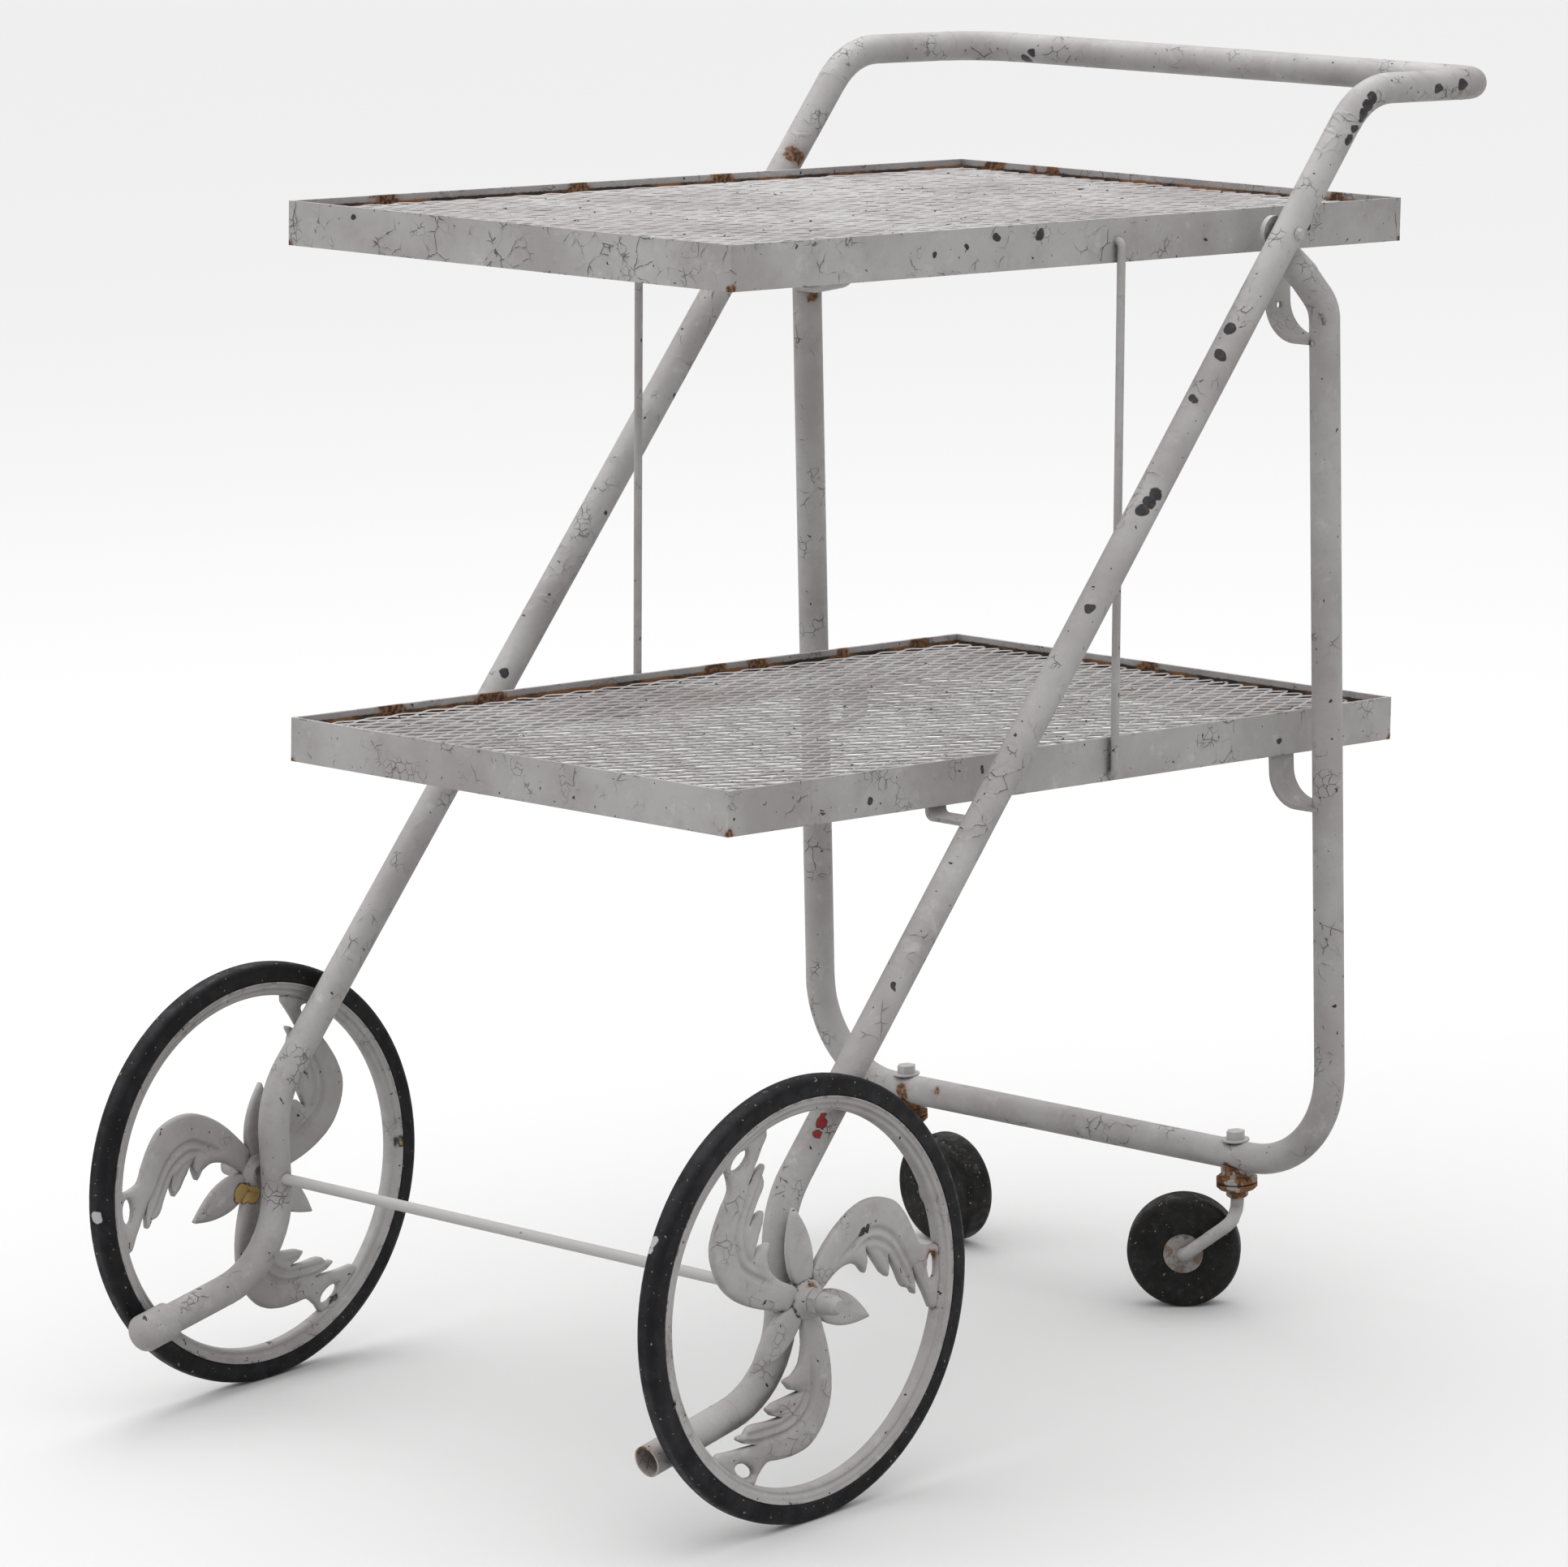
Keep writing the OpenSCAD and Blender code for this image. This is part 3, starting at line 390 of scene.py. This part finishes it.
        halo = t.math("ADD", t.math("MULTIPLY", stain, 0.8), t.math("MULTIPLY", ragged, 0.5))
        faint = t.band(halo, 0.45, 1.00)
        colour = t.mix(t.math("MULTIPLY", faint, 0.50), colour, RUST_LIGHT)
        rusty_mix = t.mix(t.band(t.noise(320, 4), 0.4, 0.62), RUST_DARK, RUST_LIGHT)
        colour = t.mix(strong, colour, rusty_mix)
    bare_colour = t.mix(t.band(t.noise(260, 3), 0.52, 0.68), IRON, (0.07, 0.04, 0.03))
    colour = t.mix(bare, colour, bare_colour)
    for places, shown in ((primer, PRIMER), (ochre, OCHRE)):
        if places:
            rim = spots(t, fine_wavy, [(p, r * 1.14) for p, r in places])
            colour = t.mix(rim, colour, IRON)
            colour = t.mix(spots(t, fine_wavy, places), colour, shown)
    roughness = t.band(t.noise(60, 4), 0.3, 0.7, 0.48, 0.68)
    # Thick paint: brush waves, curled crack edges and the step down into each chip
    waves = t.math("MULTIPLY", t.noise(90, 3), 0.35)
    curled = t.math("MULTIPLY", t.band(net, 0.02, 0.10, 1.0, 0.0), patch)
    lift = t.math("MULTIPLY", curled, 0.5 * cracks)
    height = t.math("SUBTRACT", t.math("ADD", waves, lift), t.math("MAXIMUM", bare, crack))
    return t.finish(colour, roughness, t.bump(height, 0.0007, 1.0), gloss=0.35)


def rubber(name, tone, specks=(0.30, 0.24, 0.17), dusty=0.0, scuffs=()):
    """Old black rubber with specks, and with dust on what faces up where dusty is set."""
    t = Tree(name)
    cloud = t.band(t.noise(45, 5, 0.65), 0.42, 0.72)
    colour = t.mix(cloud, tone, tuple(c * 1.9 + 0.006 for c in tone))
    dots = t.band(t.noise(330, 2, 0.5), 0.700, 0.725)
    colour = t.mix(t.math("MULTIPLY", dots, 0.75), colour, specks)
    scuffed = spots(t, t.warp(150, 0.006), scuffs)
    if scuffed is not None:
        colour = t.mix(t.math("MULTIPLY", scuffed, 0.9), colour, (0.42, 0.42, 0.44))
    if dusty:
        film = t.band(t.noise(120, 6, 0.75), 0.50, 0.72)
        tread = t.band(t.facing(2), 0.25, 0.75)
        film = t.math("MULTIPLY", film, t.math("ADD", t.math("MULTIPLY", tread, 0.8), 0.2))
        colour = t.mix(t.math("MULTIPLY", film, dusty), colour, (0.13, 0.12, 0.12))
        brown = t.band(t.noise(42, 5, 0.7), 0.56, 0.74)
        colour = t.mix(t.math("MULTIPLY", brown, 0.6), colour, (0.030, 0.019, 0.008))
    roughness = t.band(t.noise(80, 4), 0.3, 0.7, 0.42, 0.70)
    height = t.math("ADD", t.noise(500, 3), t.math("MULTIPLY", t.noise(60, 3), 0.6))
    return t.finish(colour, roughness, t.bump(height, 0.0004, 0.5), gloss=0.22)


def worn_steel(name, paint_left=0.0):
    """Dull steel with rust, and with paint still on paint_left of it."""
    t = Tree(name)
    grain = t.noise(140, 4, 0.7)
    colour = t.mix(t.band(grain, 0.42, 0.62), (0.24, 0.225, 0.215), (0.10, 0.085, 0.075))
    colour = t.mix(t.band(t.noise(70, 5, 0.7), 0.56, 0.68), colour, RUST_LIGHT)
    if paint_left:
        painted = t.band(t.noise(48, 5, 0.65), 0.62 - paint_left * 0.35, 0.66 - paint_left * 0.35)
        colour = t.mix(painted, colour, tuple(c * 1.05 for c in CREAM))
    return t.finish(colour, 0.55, t.bump(grain, 0.0005, 0.6))


def rusty(name):
    """Iron that has rusted all over."""
    t = Tree(name)
    grain = t.noise(170, 6, 0.75)
    colour = t.mix(t.band(grain, 0.36, 0.60), RUST_DARK, RUST_LIGHT)
    colour = t.mix(t.band(t.noise(75, 5, 0.7), 0.50, 0.56), colour, (0.33, 0.30, 0.27))
    return t.finish(colour, 0.8, t.bump(grain, 0.0010, 0.8), gloss=0.2)


def dress(node, mat):
    """Gives a CAD node this material in every slot."""
    obj = NODES[node]
    if not obj.material_slots:
        obj.data.materials.append(mat)
    for entry in obj.material_slots:
        entry.link = "OBJECT"
        entry.material = mat


# ---------------------------------------------------------------- mesh helpers

def make_object(name, verts, faces, mat, smooth=True, sharp=35):
    """Mesh object with outward normals and hard edges above sharp degrees."""
    mesh = bpy.data.meshes.new(name)
    mesh.from_pydata([tuple(v) for v in verts], [], [tuple(f) for f in faces])
    mesh.materials.append(mat)
    mesh.validate()
    bm = bmesh.new()
    bm.from_mesh(mesh)
    bmesh.ops.recalc_face_normals(bm, faces=bm.faces)
    for face in bm.faces:
        face.smooth = smooth
    for edge in bm.edges:
        if len(edge.link_faces) == 2 and edge.calc_face_angle(0) > math.radians(sharp):
            edge.smooth = False
    bm.to_mesh(mesh)
    bm.free()
    obj = bpy.data.objects.new(name, mesh)
    scene.collection.objects.link(obj)
    return obj


def smooth_curve(points, steps=4):
    """Catmull-Rom curve through the points."""
    p = [np.array(q, float) for q in points]
    out = []
    for i in range(len(p) - 1):
        a, b, c, d = p[max(i - 1, 0)], p[i], p[i + 1], p[min(i + 2, len(p) - 1)]
        for s in range(steps):
            t = s / steps
            out.append(0.5 * (2 * b + (c - a) * t + (2 * a - 5 * b + 4 * c - d) * t * t
                              + (3 * b - a - 3 * c + d) * t ** 3))
    out.append(p[-1])
    return np.array(out)


def distance_to_line(pts, line, closed=False):
    """Distance of each point from a polyline."""
    a = line if closed else line[:-1]
    b = np.roll(line, -1, 0) if closed else line[1:]
    best = np.full(len(pts), 1e9)
    for p, q in zip(a, b):
        d = q - p
        length = float(d @ d)
        if length < 1e-12:
            continue
        t = np.clip(((pts - p) @ d) / length, 0, 1)
        best = np.minimum(best, np.linalg.norm(pts - (p + t[:, None] * d), axis=1))
    return best


def inside(pts, loop):
    """Which points lie within the closed loop."""
    x, y = pts[:, 0], pts[:, 1]
    odd = np.zeros(len(pts), bool)
    for (x0, y0), (x1, y1) in zip(loop, np.roll(loop, -1, 0)):
        cross = (y0 > y) != (y1 > y)
        with np.errstate(divide="ignore", invalid="ignore"):
            at = x0 + (y - y0) * (x1 - x0) / (y1 - y0)
        odd ^= cross & (x < at)
    return odd


def relief(outline, holes, height, step=1.1):
    """Closed shell of a flat outline whose two faces stand at +-height(points), in mm."""
    loops = [np.array(outline)] + [np.array(h) for h in holes]
    coords, edges = [], []
    for loop in loops:
        base, n = len(coords), len(loop)
        coords += [Vector(p) for p in loop]
        edges += [(base + i, base + (i + 1) % n) for i in range(n)]
    low, high = loops[0].min(0), loops[0].max(0)
    grid = []
    rows = int((high[1] - low[1]) / (step * 0.866)) + 1
    for j in range(rows):
        y = low[1] + j * step * 0.866
        for i in range(int((high[0] - low[0]) / step) + 2):
            grid.append((low[0] + (i + 0.5 * (j % 2)) * step, y))
    grid = np.array(grid)
    keep = inside(grid, loops[0])
    for hole in loops[1:]:
        keep &= ~inside(grid, hole)
    for loop in loops:
        keep &= distance_to_line(grid, loop, True) > step * 0.55
    coords += [Vector(p) for p in grid[keep]]
    flat, _, tris, _, _, _ = delaunay_2d_cdt(coords, edges, [], 0, 1e-5)
    flat = np.array([tuple(v) for v in flat])
    centres = np.array([flat[list(t)].mean(0) for t in tris])
    good = inside(centres, loops[0])
    for hole in loops[1:]:
        good &= ~inside(centres, hole)
    tris = [t for t, g in zip(tris, good) if g]
    z = height(flat)
    n = len(flat)
    verts = [(x, y, h) for (x, y), h in zip(flat, z)] + [(x, y, -h) for (x, y), h in zip(flat, z)]
    faces = [tuple(t) for t in tris] + [tuple(i + n for i in reversed(t)) for t in tris]
    sides = {}
    for t in tris:
        for a, b in zip(t, t[1:] + t[:1]):
            sides[(a, b)] = True
    for a, b in sides:
        if (b, a) not in sides:
            faces.append((b, a, a + n, b + n))
    return verts, faces


def revolve(profile, steps):
    """Ring from a closed profile of (radius, height), about +Z."""
    verts, faces = [], []
    n = len(profile)
    for k in range(steps):
        a = 2 * math.pi * k / steps
        verts += [(r * math.cos(a), r * math.sin(a), z) for r, z in profile]
    for k in range(steps):
        m = (k + 1) % steps
        for i in range(n):
            j = (i + 1) % n
            faces.append((k * n + i, m * n + i, m * n + j, k * n + j))
    return verts, faces


def round_corners(loop, radius, steps=3):
    """The closed loop with each corner cut back to a small arc."""
    out = []
    loop = [np.array(p, float) for p in loop]
    n = len(loop)
    for i in range(n):
        p, a, b = loop[i], loop[i - 1], loop[(i + 1) % n]
        cut = min(radius, np.linalg.norm(a - p) * 0.45, np.linalg.norm(b - p) * 0.45)
        s = p + (a - p) / np.linalg.norm(a - p) * cut
        e = p + (b - p) / np.linalg.norm(b - p) * cut
        for k in range(steps + 1):
            t = k / steps
            out.append(tuple((1 - t) ** 2 * s + 2 * t * (1 - t) * p + t * t * e))
    return out


# ---------------------------------------------------------------- cast wheels

# Radii of the cast rim, and half thickness of a leaf at its edge and the crown above that, in mm
RIM_OUT, RIM_IN = 138.4, 128.4
SPOKE_EDGE, SPOKE_CROWN = 1.7, 2.6

# One leaf, in mm from the hub, with +X along it: back, foot, tail and barbs, then its grooves
LEAF_BACK = [(6, 18), (24, 36), (40, 47.5), (56, 54), (72, 54.5), (88, 49), (99, 37),
             (106, 24), (111, 14), (121, 10)]
LEAF_FOOT = [(130, 9.5), (132, -10), (126, -37)]
LEAF_TAIL = [(119, -33), (113, -20), (107, -9), (103, -1)]
LEAF_TIPS = [
    [(105.6, -13), (105.2, -20), (102.8, -19.5)],
    [(100, -15), (93, -12), (86, 2), (79.6, 13)],
    [(81, 4), (79, -2), (76.6, -1)],
    [(73, 2), (66, 12), (58.4, 22.5)],
    [(60, 13), (57, 5.5), (54.6, 7)],
    [(51, 11.5), (42, 15), (29, 12), (15, 3)],
]
GROOVES = [
    [(30, 19), (40, 24.5), (51, 30.5), (62, 34.5), (74.5, 31.8), (86, 22.8), (95, 8.6),
     (101.5, -3), (104, -12)],
    [(46, 22), (56, 26.2), (65.5, 26.8), (76, 22.2), (83.6, 15.5), (89, 7), (94.5, -2.6),
     (99.5, -12)],
    [(60, 20), (68, 19.5), (74.5, 13.5), (78.3, 5)],
]


def leaf_outline():
    parts = [smooth_curve(LEAF_BACK), np.array(LEAF_FOOT, float), smooth_curve(LEAF_TAIL)]
    parts += [smooth_curve(p) for p in LEAF_TIPS]
    parts.append(np.array([(8, -4)], float))
    loop = np.concatenate(parts)
    keep = np.linalg.norm(loop - np.roll(loop, 1, 0), axis=1) > 0.05
    return loop[keep]


def crown(depth, reach):
    """0 at the edge, 1 from reach inwards, round in between."""
    t = np.clip(depth / reach, 0, 1)
    return np.sqrt(np.clip(1 - (1 - t) ** 2, 0, 1))


def make_leaf():
    loop = leaf_outline()
    a = np.linspace(0, 2 * math.pi, 14, endpoint=False)
    eyelet = np.stack([122.2 + 4.6 * np.cos(a), -4.5 + 9.5 * np.sin(a)], 1)
    grooves = [smooth_curve(g, 5) for g in GROOVES]

    def height(pts):
        depth = np.minimum(distance_to_line(pts, loop, True), distance_to_line(pts, eyelet, True))
        h = SPOKE_EDGE + SPOKE_CROWN * crown(depth, 8.0)
        for g, deep in zip(grooves, (1.9, 1.7, 1.1)):
            d = distance_to_line(pts, g)
            along = np.clip(np.linalg.norm(pts - g[0], axis=1) / 16, 0.15, 1)
            h -= deep * along * np.exp(-(d / 2.0) ** 2) * crown(depth, 4.0)
        foot = np.clip((pts[:, 0] - 108) / 14, 0, 1)
        return h * (1 - 0.15 * foot)

    return relief(loop, [eyelet], height)


def make_petal():
    length, half = 65.0, 12.0
    t = np.linspace(0, 1, 22)
    side = half * np.sin(np.pi * t ** 0.85) ** 0.8
    side[-1] = 0.5
    side[0] = 5.0
    run = 4 + (length - 4) * t
    loop = np.concatenate([np.stack([run, -side], 1), np.stack([run, side], 1)[::-1]])

    def height(pts):
        depth = distance_to_line(pts, loop, True)
        ridge = np.exp(-(pts[:, 1] / 2.2) ** 2) * np.clip((pts[:, 0] - 16) / 10, 0, 1)
        swell = 0.9 * np.clip(1 - pts[:, 0] / 30, 0, 1)
        return 1.2 + 1.9 * crown(depth, 6.0) + swell + 0.35 * ridge

    return relief(loop, [], height)


def combine(groups):
    verts, faces = [], []
    for v, f in groups:
        base = len(verts)
        verts += v
        faces += [tuple(i + base for i in face) for face in f]
    return verts, faces


def spun(shape, degrees):
    c, s = math.cos(math.radians(degrees)), math.sin(math.radians(degrees))
    verts, faces = shape
    return [(c * x - s * y, s * x + c * y, z) for x, y, z in verts], faces


def make_casting():
    leaf, petal = make_leaf(), make_petal()
    groups = []
    for k in range(3):
        groups.append(spun(leaf, 120 * k))
        groups.append(spun(petal, 120 * k + 97))
    half = 7.2
    face = [(RIM_IN - 0.4, 0), (RIM_IN, half - 3.6), (RIM_IN + 1.6, half - 2.2),
            (RIM_IN + 3.4, half - 2.6), (RIM_IN + 4.6, half - 1.9),
            (RIM_IN + 5.4, half - 0.6), (RIM_OUT - 2.2, half - 0.5),
            (RIM_OUT - 1.2, half + 0.3), (RIM_OUT, half + 0.3)]
    rim = face + [(r, -z) for r, z in reversed(face[1:])]
    groups.append(revolve(round_corners(rim, 0.7, 2), 168))
    hub = [(4.1, -10), (8.6, -10), (9.6, -9), (10.6, -6.8), (13.6, -4.6), (14.2, -3.4),
           (14.2, 3.4), (13.6, 4.6), (10.6, 6.8), (9.6, 9), (8.6, 10), (4.1, 10)]
    groups.append(revolve(round_corners(hub, 0.9, 2), 48))
    return combine(groups)


def place_wheel(shape, side, spin):
    """A wheel drawn about +Z in mm, put on its end of the axle with +Z outwards, in metres."""
    low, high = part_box("wheel_casting_right" if side > 0 else "wheel_casting_left")
    centre = Vector([(a + b) / 2 for a, b in zip(low, high)])
    verts, faces = spun(shape, spin)
    placed = [(centre.x + side * z * MM, centre.y + side * x * MM, centre.z + y * MM)
              for x, y, z in verts]
    return placed, faces


# ---------------------------------------------------------------- expanded metal

# Shelf sizes of the CAD frame in mm; Y_MID is the cart's middle behind the front axle
SHELF_W, SHELF_L, RIM_T, SLOPE, Y_MID = 432, 686, 3, math.radians(4.5), 317.3
CELL_X, CELL_L = 14.4, 29.3
RIBBON_W, RIBBON_T, TILT = 3.0, 1.55, math.radians(42)
# Depth of the sheet below the rim, and how far rolling has flattened its ribbons
MESH_DEPTH, FLATTEN = 6.9, 0.62


def shelf_point(x, along, depth, y0, z0):
    """Place in metres, from mm across, along and below the shelf that starts at y0, z0."""
    return (
        x * MM,
        (y0 + along * math.cos(SLOPE) - depth * math.sin(SLOPE) - Y_MID) * MM,
        (z0 - along * math.sin(SLOPE) - depth * math.cos(SLOPE)) * MM,
    )


def expanded_metal(y0, z0, seed):
    """Zigzag ribbons along the shelf that meet their neighbours, all tilted one way."""
    rng = random.Random(seed)
    half_w = SHELF_W / 2 - RIM_T - 0.4
    start, end = RIM_T + 0.4, SHELF_L - RIM_T - 0.4
    half_cell, pitch = CELL_L / 2, CELL_X / 2
    sway = pitch / 2 - RIBBON_T * 0.42
    rows = int((end - start) / half_cell) + 2
    count = int(2 * half_w / pitch) + 2
    verts, faces = [], []
    for k in range(count):
        line = []
        for m in range(rows + 1):
            at = start + (m - 0.5) * half_cell
            x = -half_w + (k + 0.5) * pitch + (sway if (m + k) % 2 == 0 else -sway)
            sag = rng.uniform(-0.25, 0.25)
            for step in (-1, 1):
                line.append([x, at + step * 2.3 + rng.uniform(-0.2, 0.2), sag])
        line = [p for p in line if start <= p[1] <= end]
        base = len(verts)
        used = len(line)
        for x, at, sag in line:
            x = min(max(x, -half_w + 1.6), half_w - 1.6)
            tilt = TILT + rng.uniform(-0.06, 0.06)
            wide = RIBBON_W * rng.uniform(0.94, 1.12) / 2
            thick = RIBBON_T * rng.uniform(0.95, 1.15) / 2
            c, s = math.cos(tilt), math.sin(tilt)
            for u, v in ((wide, thick), (-wide, thick), (-wide, -thick), (wide, -thick)):
                depth = MESH_DEPTH + sag - (u * s + v * c) * FLATTEN
                verts.append(shelf_point(x + u * c - v * s, at, depth, y0, z0))
        for i in range(used - 1):
            for j in range(4):
                a, b = base + 4 * i + j, base + 4 * i + (j + 1) % 4
                faces.append((a, b, b + 4, a + 4))
        faces.append(tuple(base + j for j in (3, 2, 1, 0)))
        faces.append(tuple(base + 4 * (used - 1) + j for j in range(4)))
    return verts, faces


# ---------------------------------------------------------------- materials

def shelf_rust(y0, z0, seed, amount):
    """Rust spots along the inner edges and at the corners of a shelf."""
    rng = random.Random(seed)
    stains = []
    for _ in range(amount):
        if rng.random() < 0.5:
            x, along = -SHELF_W / 2 + 3, rng.uniform(20, SHELF_L - 20)
        else:
            x, along = rng.uniform(-SHELF_W / 2, SHELF_W / 2), SHELF_L - 3
        stains.append((shelf_point(x, along, rng.uniform(3, 8), y0, z0), rng.uniform(0.012, 0.035)))
    for x in (-1, 1):
        for along in (0, SHELF_L):
            stains.append((shelf_point(x * SHELF_W / 2, along, 31, y0, z0), 0.011))
    return stains


def streak(start, end, radius, count):
    """Overlapping spots along a line."""
    a, b = Vector(start), Vector(end)
    return [(tuple(a.lerp(b, i / (count - 1))), radius) for i in range(count)]


# Places of the marks, (place, radius) in metres on the parts at rest
HANDLE_CHIPS = [
    *streak((0.2617, 0.3113, 0.886), (0.2626, 0.3009, 0.8748), 0.0048, 3),
    *streak((0.2632, 0.2990, 0.870), (0.2625, 0.2854, 0.8582), 0.0040, 3),
    ((0.2624, 0.3848, 0.883), 0.0050),
    ((0.2625, 0.4120, 0.882), 0.0052),
    ((0.2540, 0.1614, 0.742), 0.0052),
    ((0.2575, 0.1480, 0.724), 0.0060),
    ((0.2557, 0.1203, 0.696), 0.0036),
    *streak((0.2607, 0.0720, 0.6380), (0.2590, 0.0600, 0.6270), 0.0055, 3),
    ((0.2591, 0.0029, 0.567), 0.0044),
    ((-0.1958, 0.4503, 0.871), 0.0050),
    ((-0.1880, 0.4480, 0.877), 0.0035),
    ((0.2588, -0.2055, 0.343), 0.0026),
    ((-0.2406, 0.0274, 0.583), 0.0034),
    ((-0.2430, 0.1046, 0.657), 0.0030),
    ((-0.2443, -0.0786, 0.480), 0.0036),
]
HANDLE_RUST = [
    ((-0.2440, 0.2445, 0.820), 0.018),
    ((-0.2411, -0.3137, 0.150), 0.014),
    ((0.2515, -0.4490, 0.067), 0.022),
    ((-0.2430, 0.1200, 0.668), 0.012),
]
HANDLE_PRIMER = [
    ((0.2593, -0.2795, 0.2640), 0.0042),
    ((0.2600, -0.2845, 0.2570), 0.0030),
    ((0.2593, -0.2770, 0.2690), 0.0030),
]
REAR_CHIPS = [
    ((-0.2600, 0.2410, 0.548), 0.0055),
    *streak((0.2450, 0.2445, 0.604), (0.2450, 0.2430, 0.571), 0.0034, 4),
    ((0.2450, 0.2445, 0.700), 0.0030),
]
REAR_RUST = [
    ((-0.165, 0.2467, 0.123), 0.018),
    ((-0.160, 0.2357, 0.110), 0.017),
    ((-0.125, 0.2400, 0.118), 0.010),
    ((0.165, 0.2467, 0.123), 0.014),
    ((0.165, 0.2370, 0.104), 0.013),
    ((-0.2450, 0.2570, 0.711), 0.012),
]
TOP_CHIPS = [
    ((0.2160, -0.0330, 0.8250), 0.0040),
    ((0.2160, 0.0115, 0.8220), 0.0044),
    ((0.2160, -0.0930, 0.8220), 0.0032),
    ((0.2160, -0.0635, 0.8235), 0.0028),
    ((0.2160, 0.2900, 0.7950), 0.0040),
    ((-0.1500, -0.2883, 0.8480), 0.0028),
]
LOW_CHIPS = [
    ((0.2160, -0.1770, 0.4610), 0.0030),
    ((0.2160, -0.0650, 0.4610), 0.0028),
    ((0.2160, 0.2460, 0.4260), 0.0030),
]
CAST_CHIPS = [
    ((0.2770, -0.2644, 0.1879), 0.0040),
    ((0.2770, -0.2590, 0.1895), 0.0034),
]
CAST_OCHRE = [
    ((-0.2745, -0.1790, 0.1470), 0.0085),
    ((-0.2745, -0.1730, 0.1720), 0.0055),
    ((-0.2700, -0.3330, 0.1400), 0.0080),
    ((-0.2700, -0.3240, 0.1380), 0.0070),
]
CAST_RUST = [
    ((0.2741, -0.1960, 0.1560), 0.016),
    ((-0.2741, -0.1960, 0.1560), 0.010),
    ((0.2790, -0.3173, 0.1600), 0.012),
]
TYRE_SCUFFS = [
    ((0.2711, -0.4526, 0.2222), 0.0045),
    ((0.2711, -0.4540, 0.2160), 0.0030),
    ((-0.2709, -0.4696, 0.1533), 0.0050),
]

# Front edge of each shelf in mm: behind the front axle, above the ground
TOP, LOW = (29, 854), (6, 491)
paint_handle = old_paint("paint_handle", chips=HANDLE_CHIPS, rust=HANDLE_RUST,
                         primer=HANDLE_PRIMER, edges=0)
paint_rear = old_paint("paint_rear", chips=REAR_CHIPS, rust=REAR_RUST, edges=0)
paint_top = old_paint("paint_top_rim", chips=TOP_CHIPS, rust=shelf_rust(*TOP, 4, 9),
                      cracks=1.2, seam=TOP)
paint_low = old_paint("paint_low_rim", chips=LOW_CHIPS, rust=shelf_rust(*LOW, 8, 8),
                      cracks=0.9, seam=LOW)
paint_mesh = old_paint("paint_mesh", tone=tuple(c * 1.15 for c in CREAM), cracks=0,
                       soiling_and_shade=1.2, speck=1.8, edges=0, crevice=0.006)
paint_cast = old_paint("paint_cast", chips=CAST_CHIPS, ochre=CAST_OCHRE, rust=CAST_RUST,
                       cracks=0.6, soiling_and_shade=1.15, speck=1.5, edges=0.7, crevice=0.014)
paint_small = old_paint("paint_small", cracks=0.5, edges=0.35)
tyre_rubber = rubber("tyre_rubber", (0.0035, 0.0035, 0.0048), scuffs=TYRE_SCUFFS)
caster_rubber = rubber("caster_rubber", (0.0045, 0.0042, 0.0040), dusty=0.8)
steel = worn_steel("worn_steel")
painted_steel = worn_steel("painted_steel", paint_left=0.9)
rust_iron = rusty("rusty_iron")

dress("handle_frame", paint_handle)
dress("rear_frame", paint_rear)
dress("top_shelf_rim", paint_top)
dress("lower_shelf_rim", paint_low)
for name in ("toe_cap", "frame_rivets"):
    dress(name, paint_small)
for name in ("tie_rod", "top_strap", "lower_strap", "front_strap", "cap_nut", "caster_rod"):
    dress(name + "_left", paint_small)
    dress(name + "_right", paint_small)
for name in ("caster_bolts", "caster_bolt_washers", "axle_rod"):
    dress(name, painted_steel)
for name in ("axle_washers", "caster_balls", "caster_clip_left", "caster_clip_right",
             "caster_core_left", "caster_core_right"):
    dress(name, steel)
for name in ("caster_collars", "caster_top_races", "caster_race_left", "caster_race_right"):
    dress(name, rust_iron)
for side in ("left", "right"):
    dress("tyre_" + side, tyre_rubber)
    dress("caster_tyre_" + side, caster_rubber)

for name, node, place, seed in (("top_expanded_metal", "top_shelf_mesh", TOP, 11),
                                ("lower_expanded_metal", "lower_shelf_mesh", LOW, 12)):
    grille = make_object(name, *expanded_metal(*place, seed), paint_mesh, smooth=False)
    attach(grille, "frame")
    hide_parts(node)

casting = make_casting()
for side, sign, spin in (("left", -1, 1), ("right", 1, 0)):
    verts, faces = place_wheel(casting, sign, spin)
    wheel = make_object("leaf_wheel_" + side, verts, faces, paint_cast, sharp=50)
    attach(wheel, "wheel_" + side)
    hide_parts("wheel_casting_" + side)

bpy.context.view_layer.update()
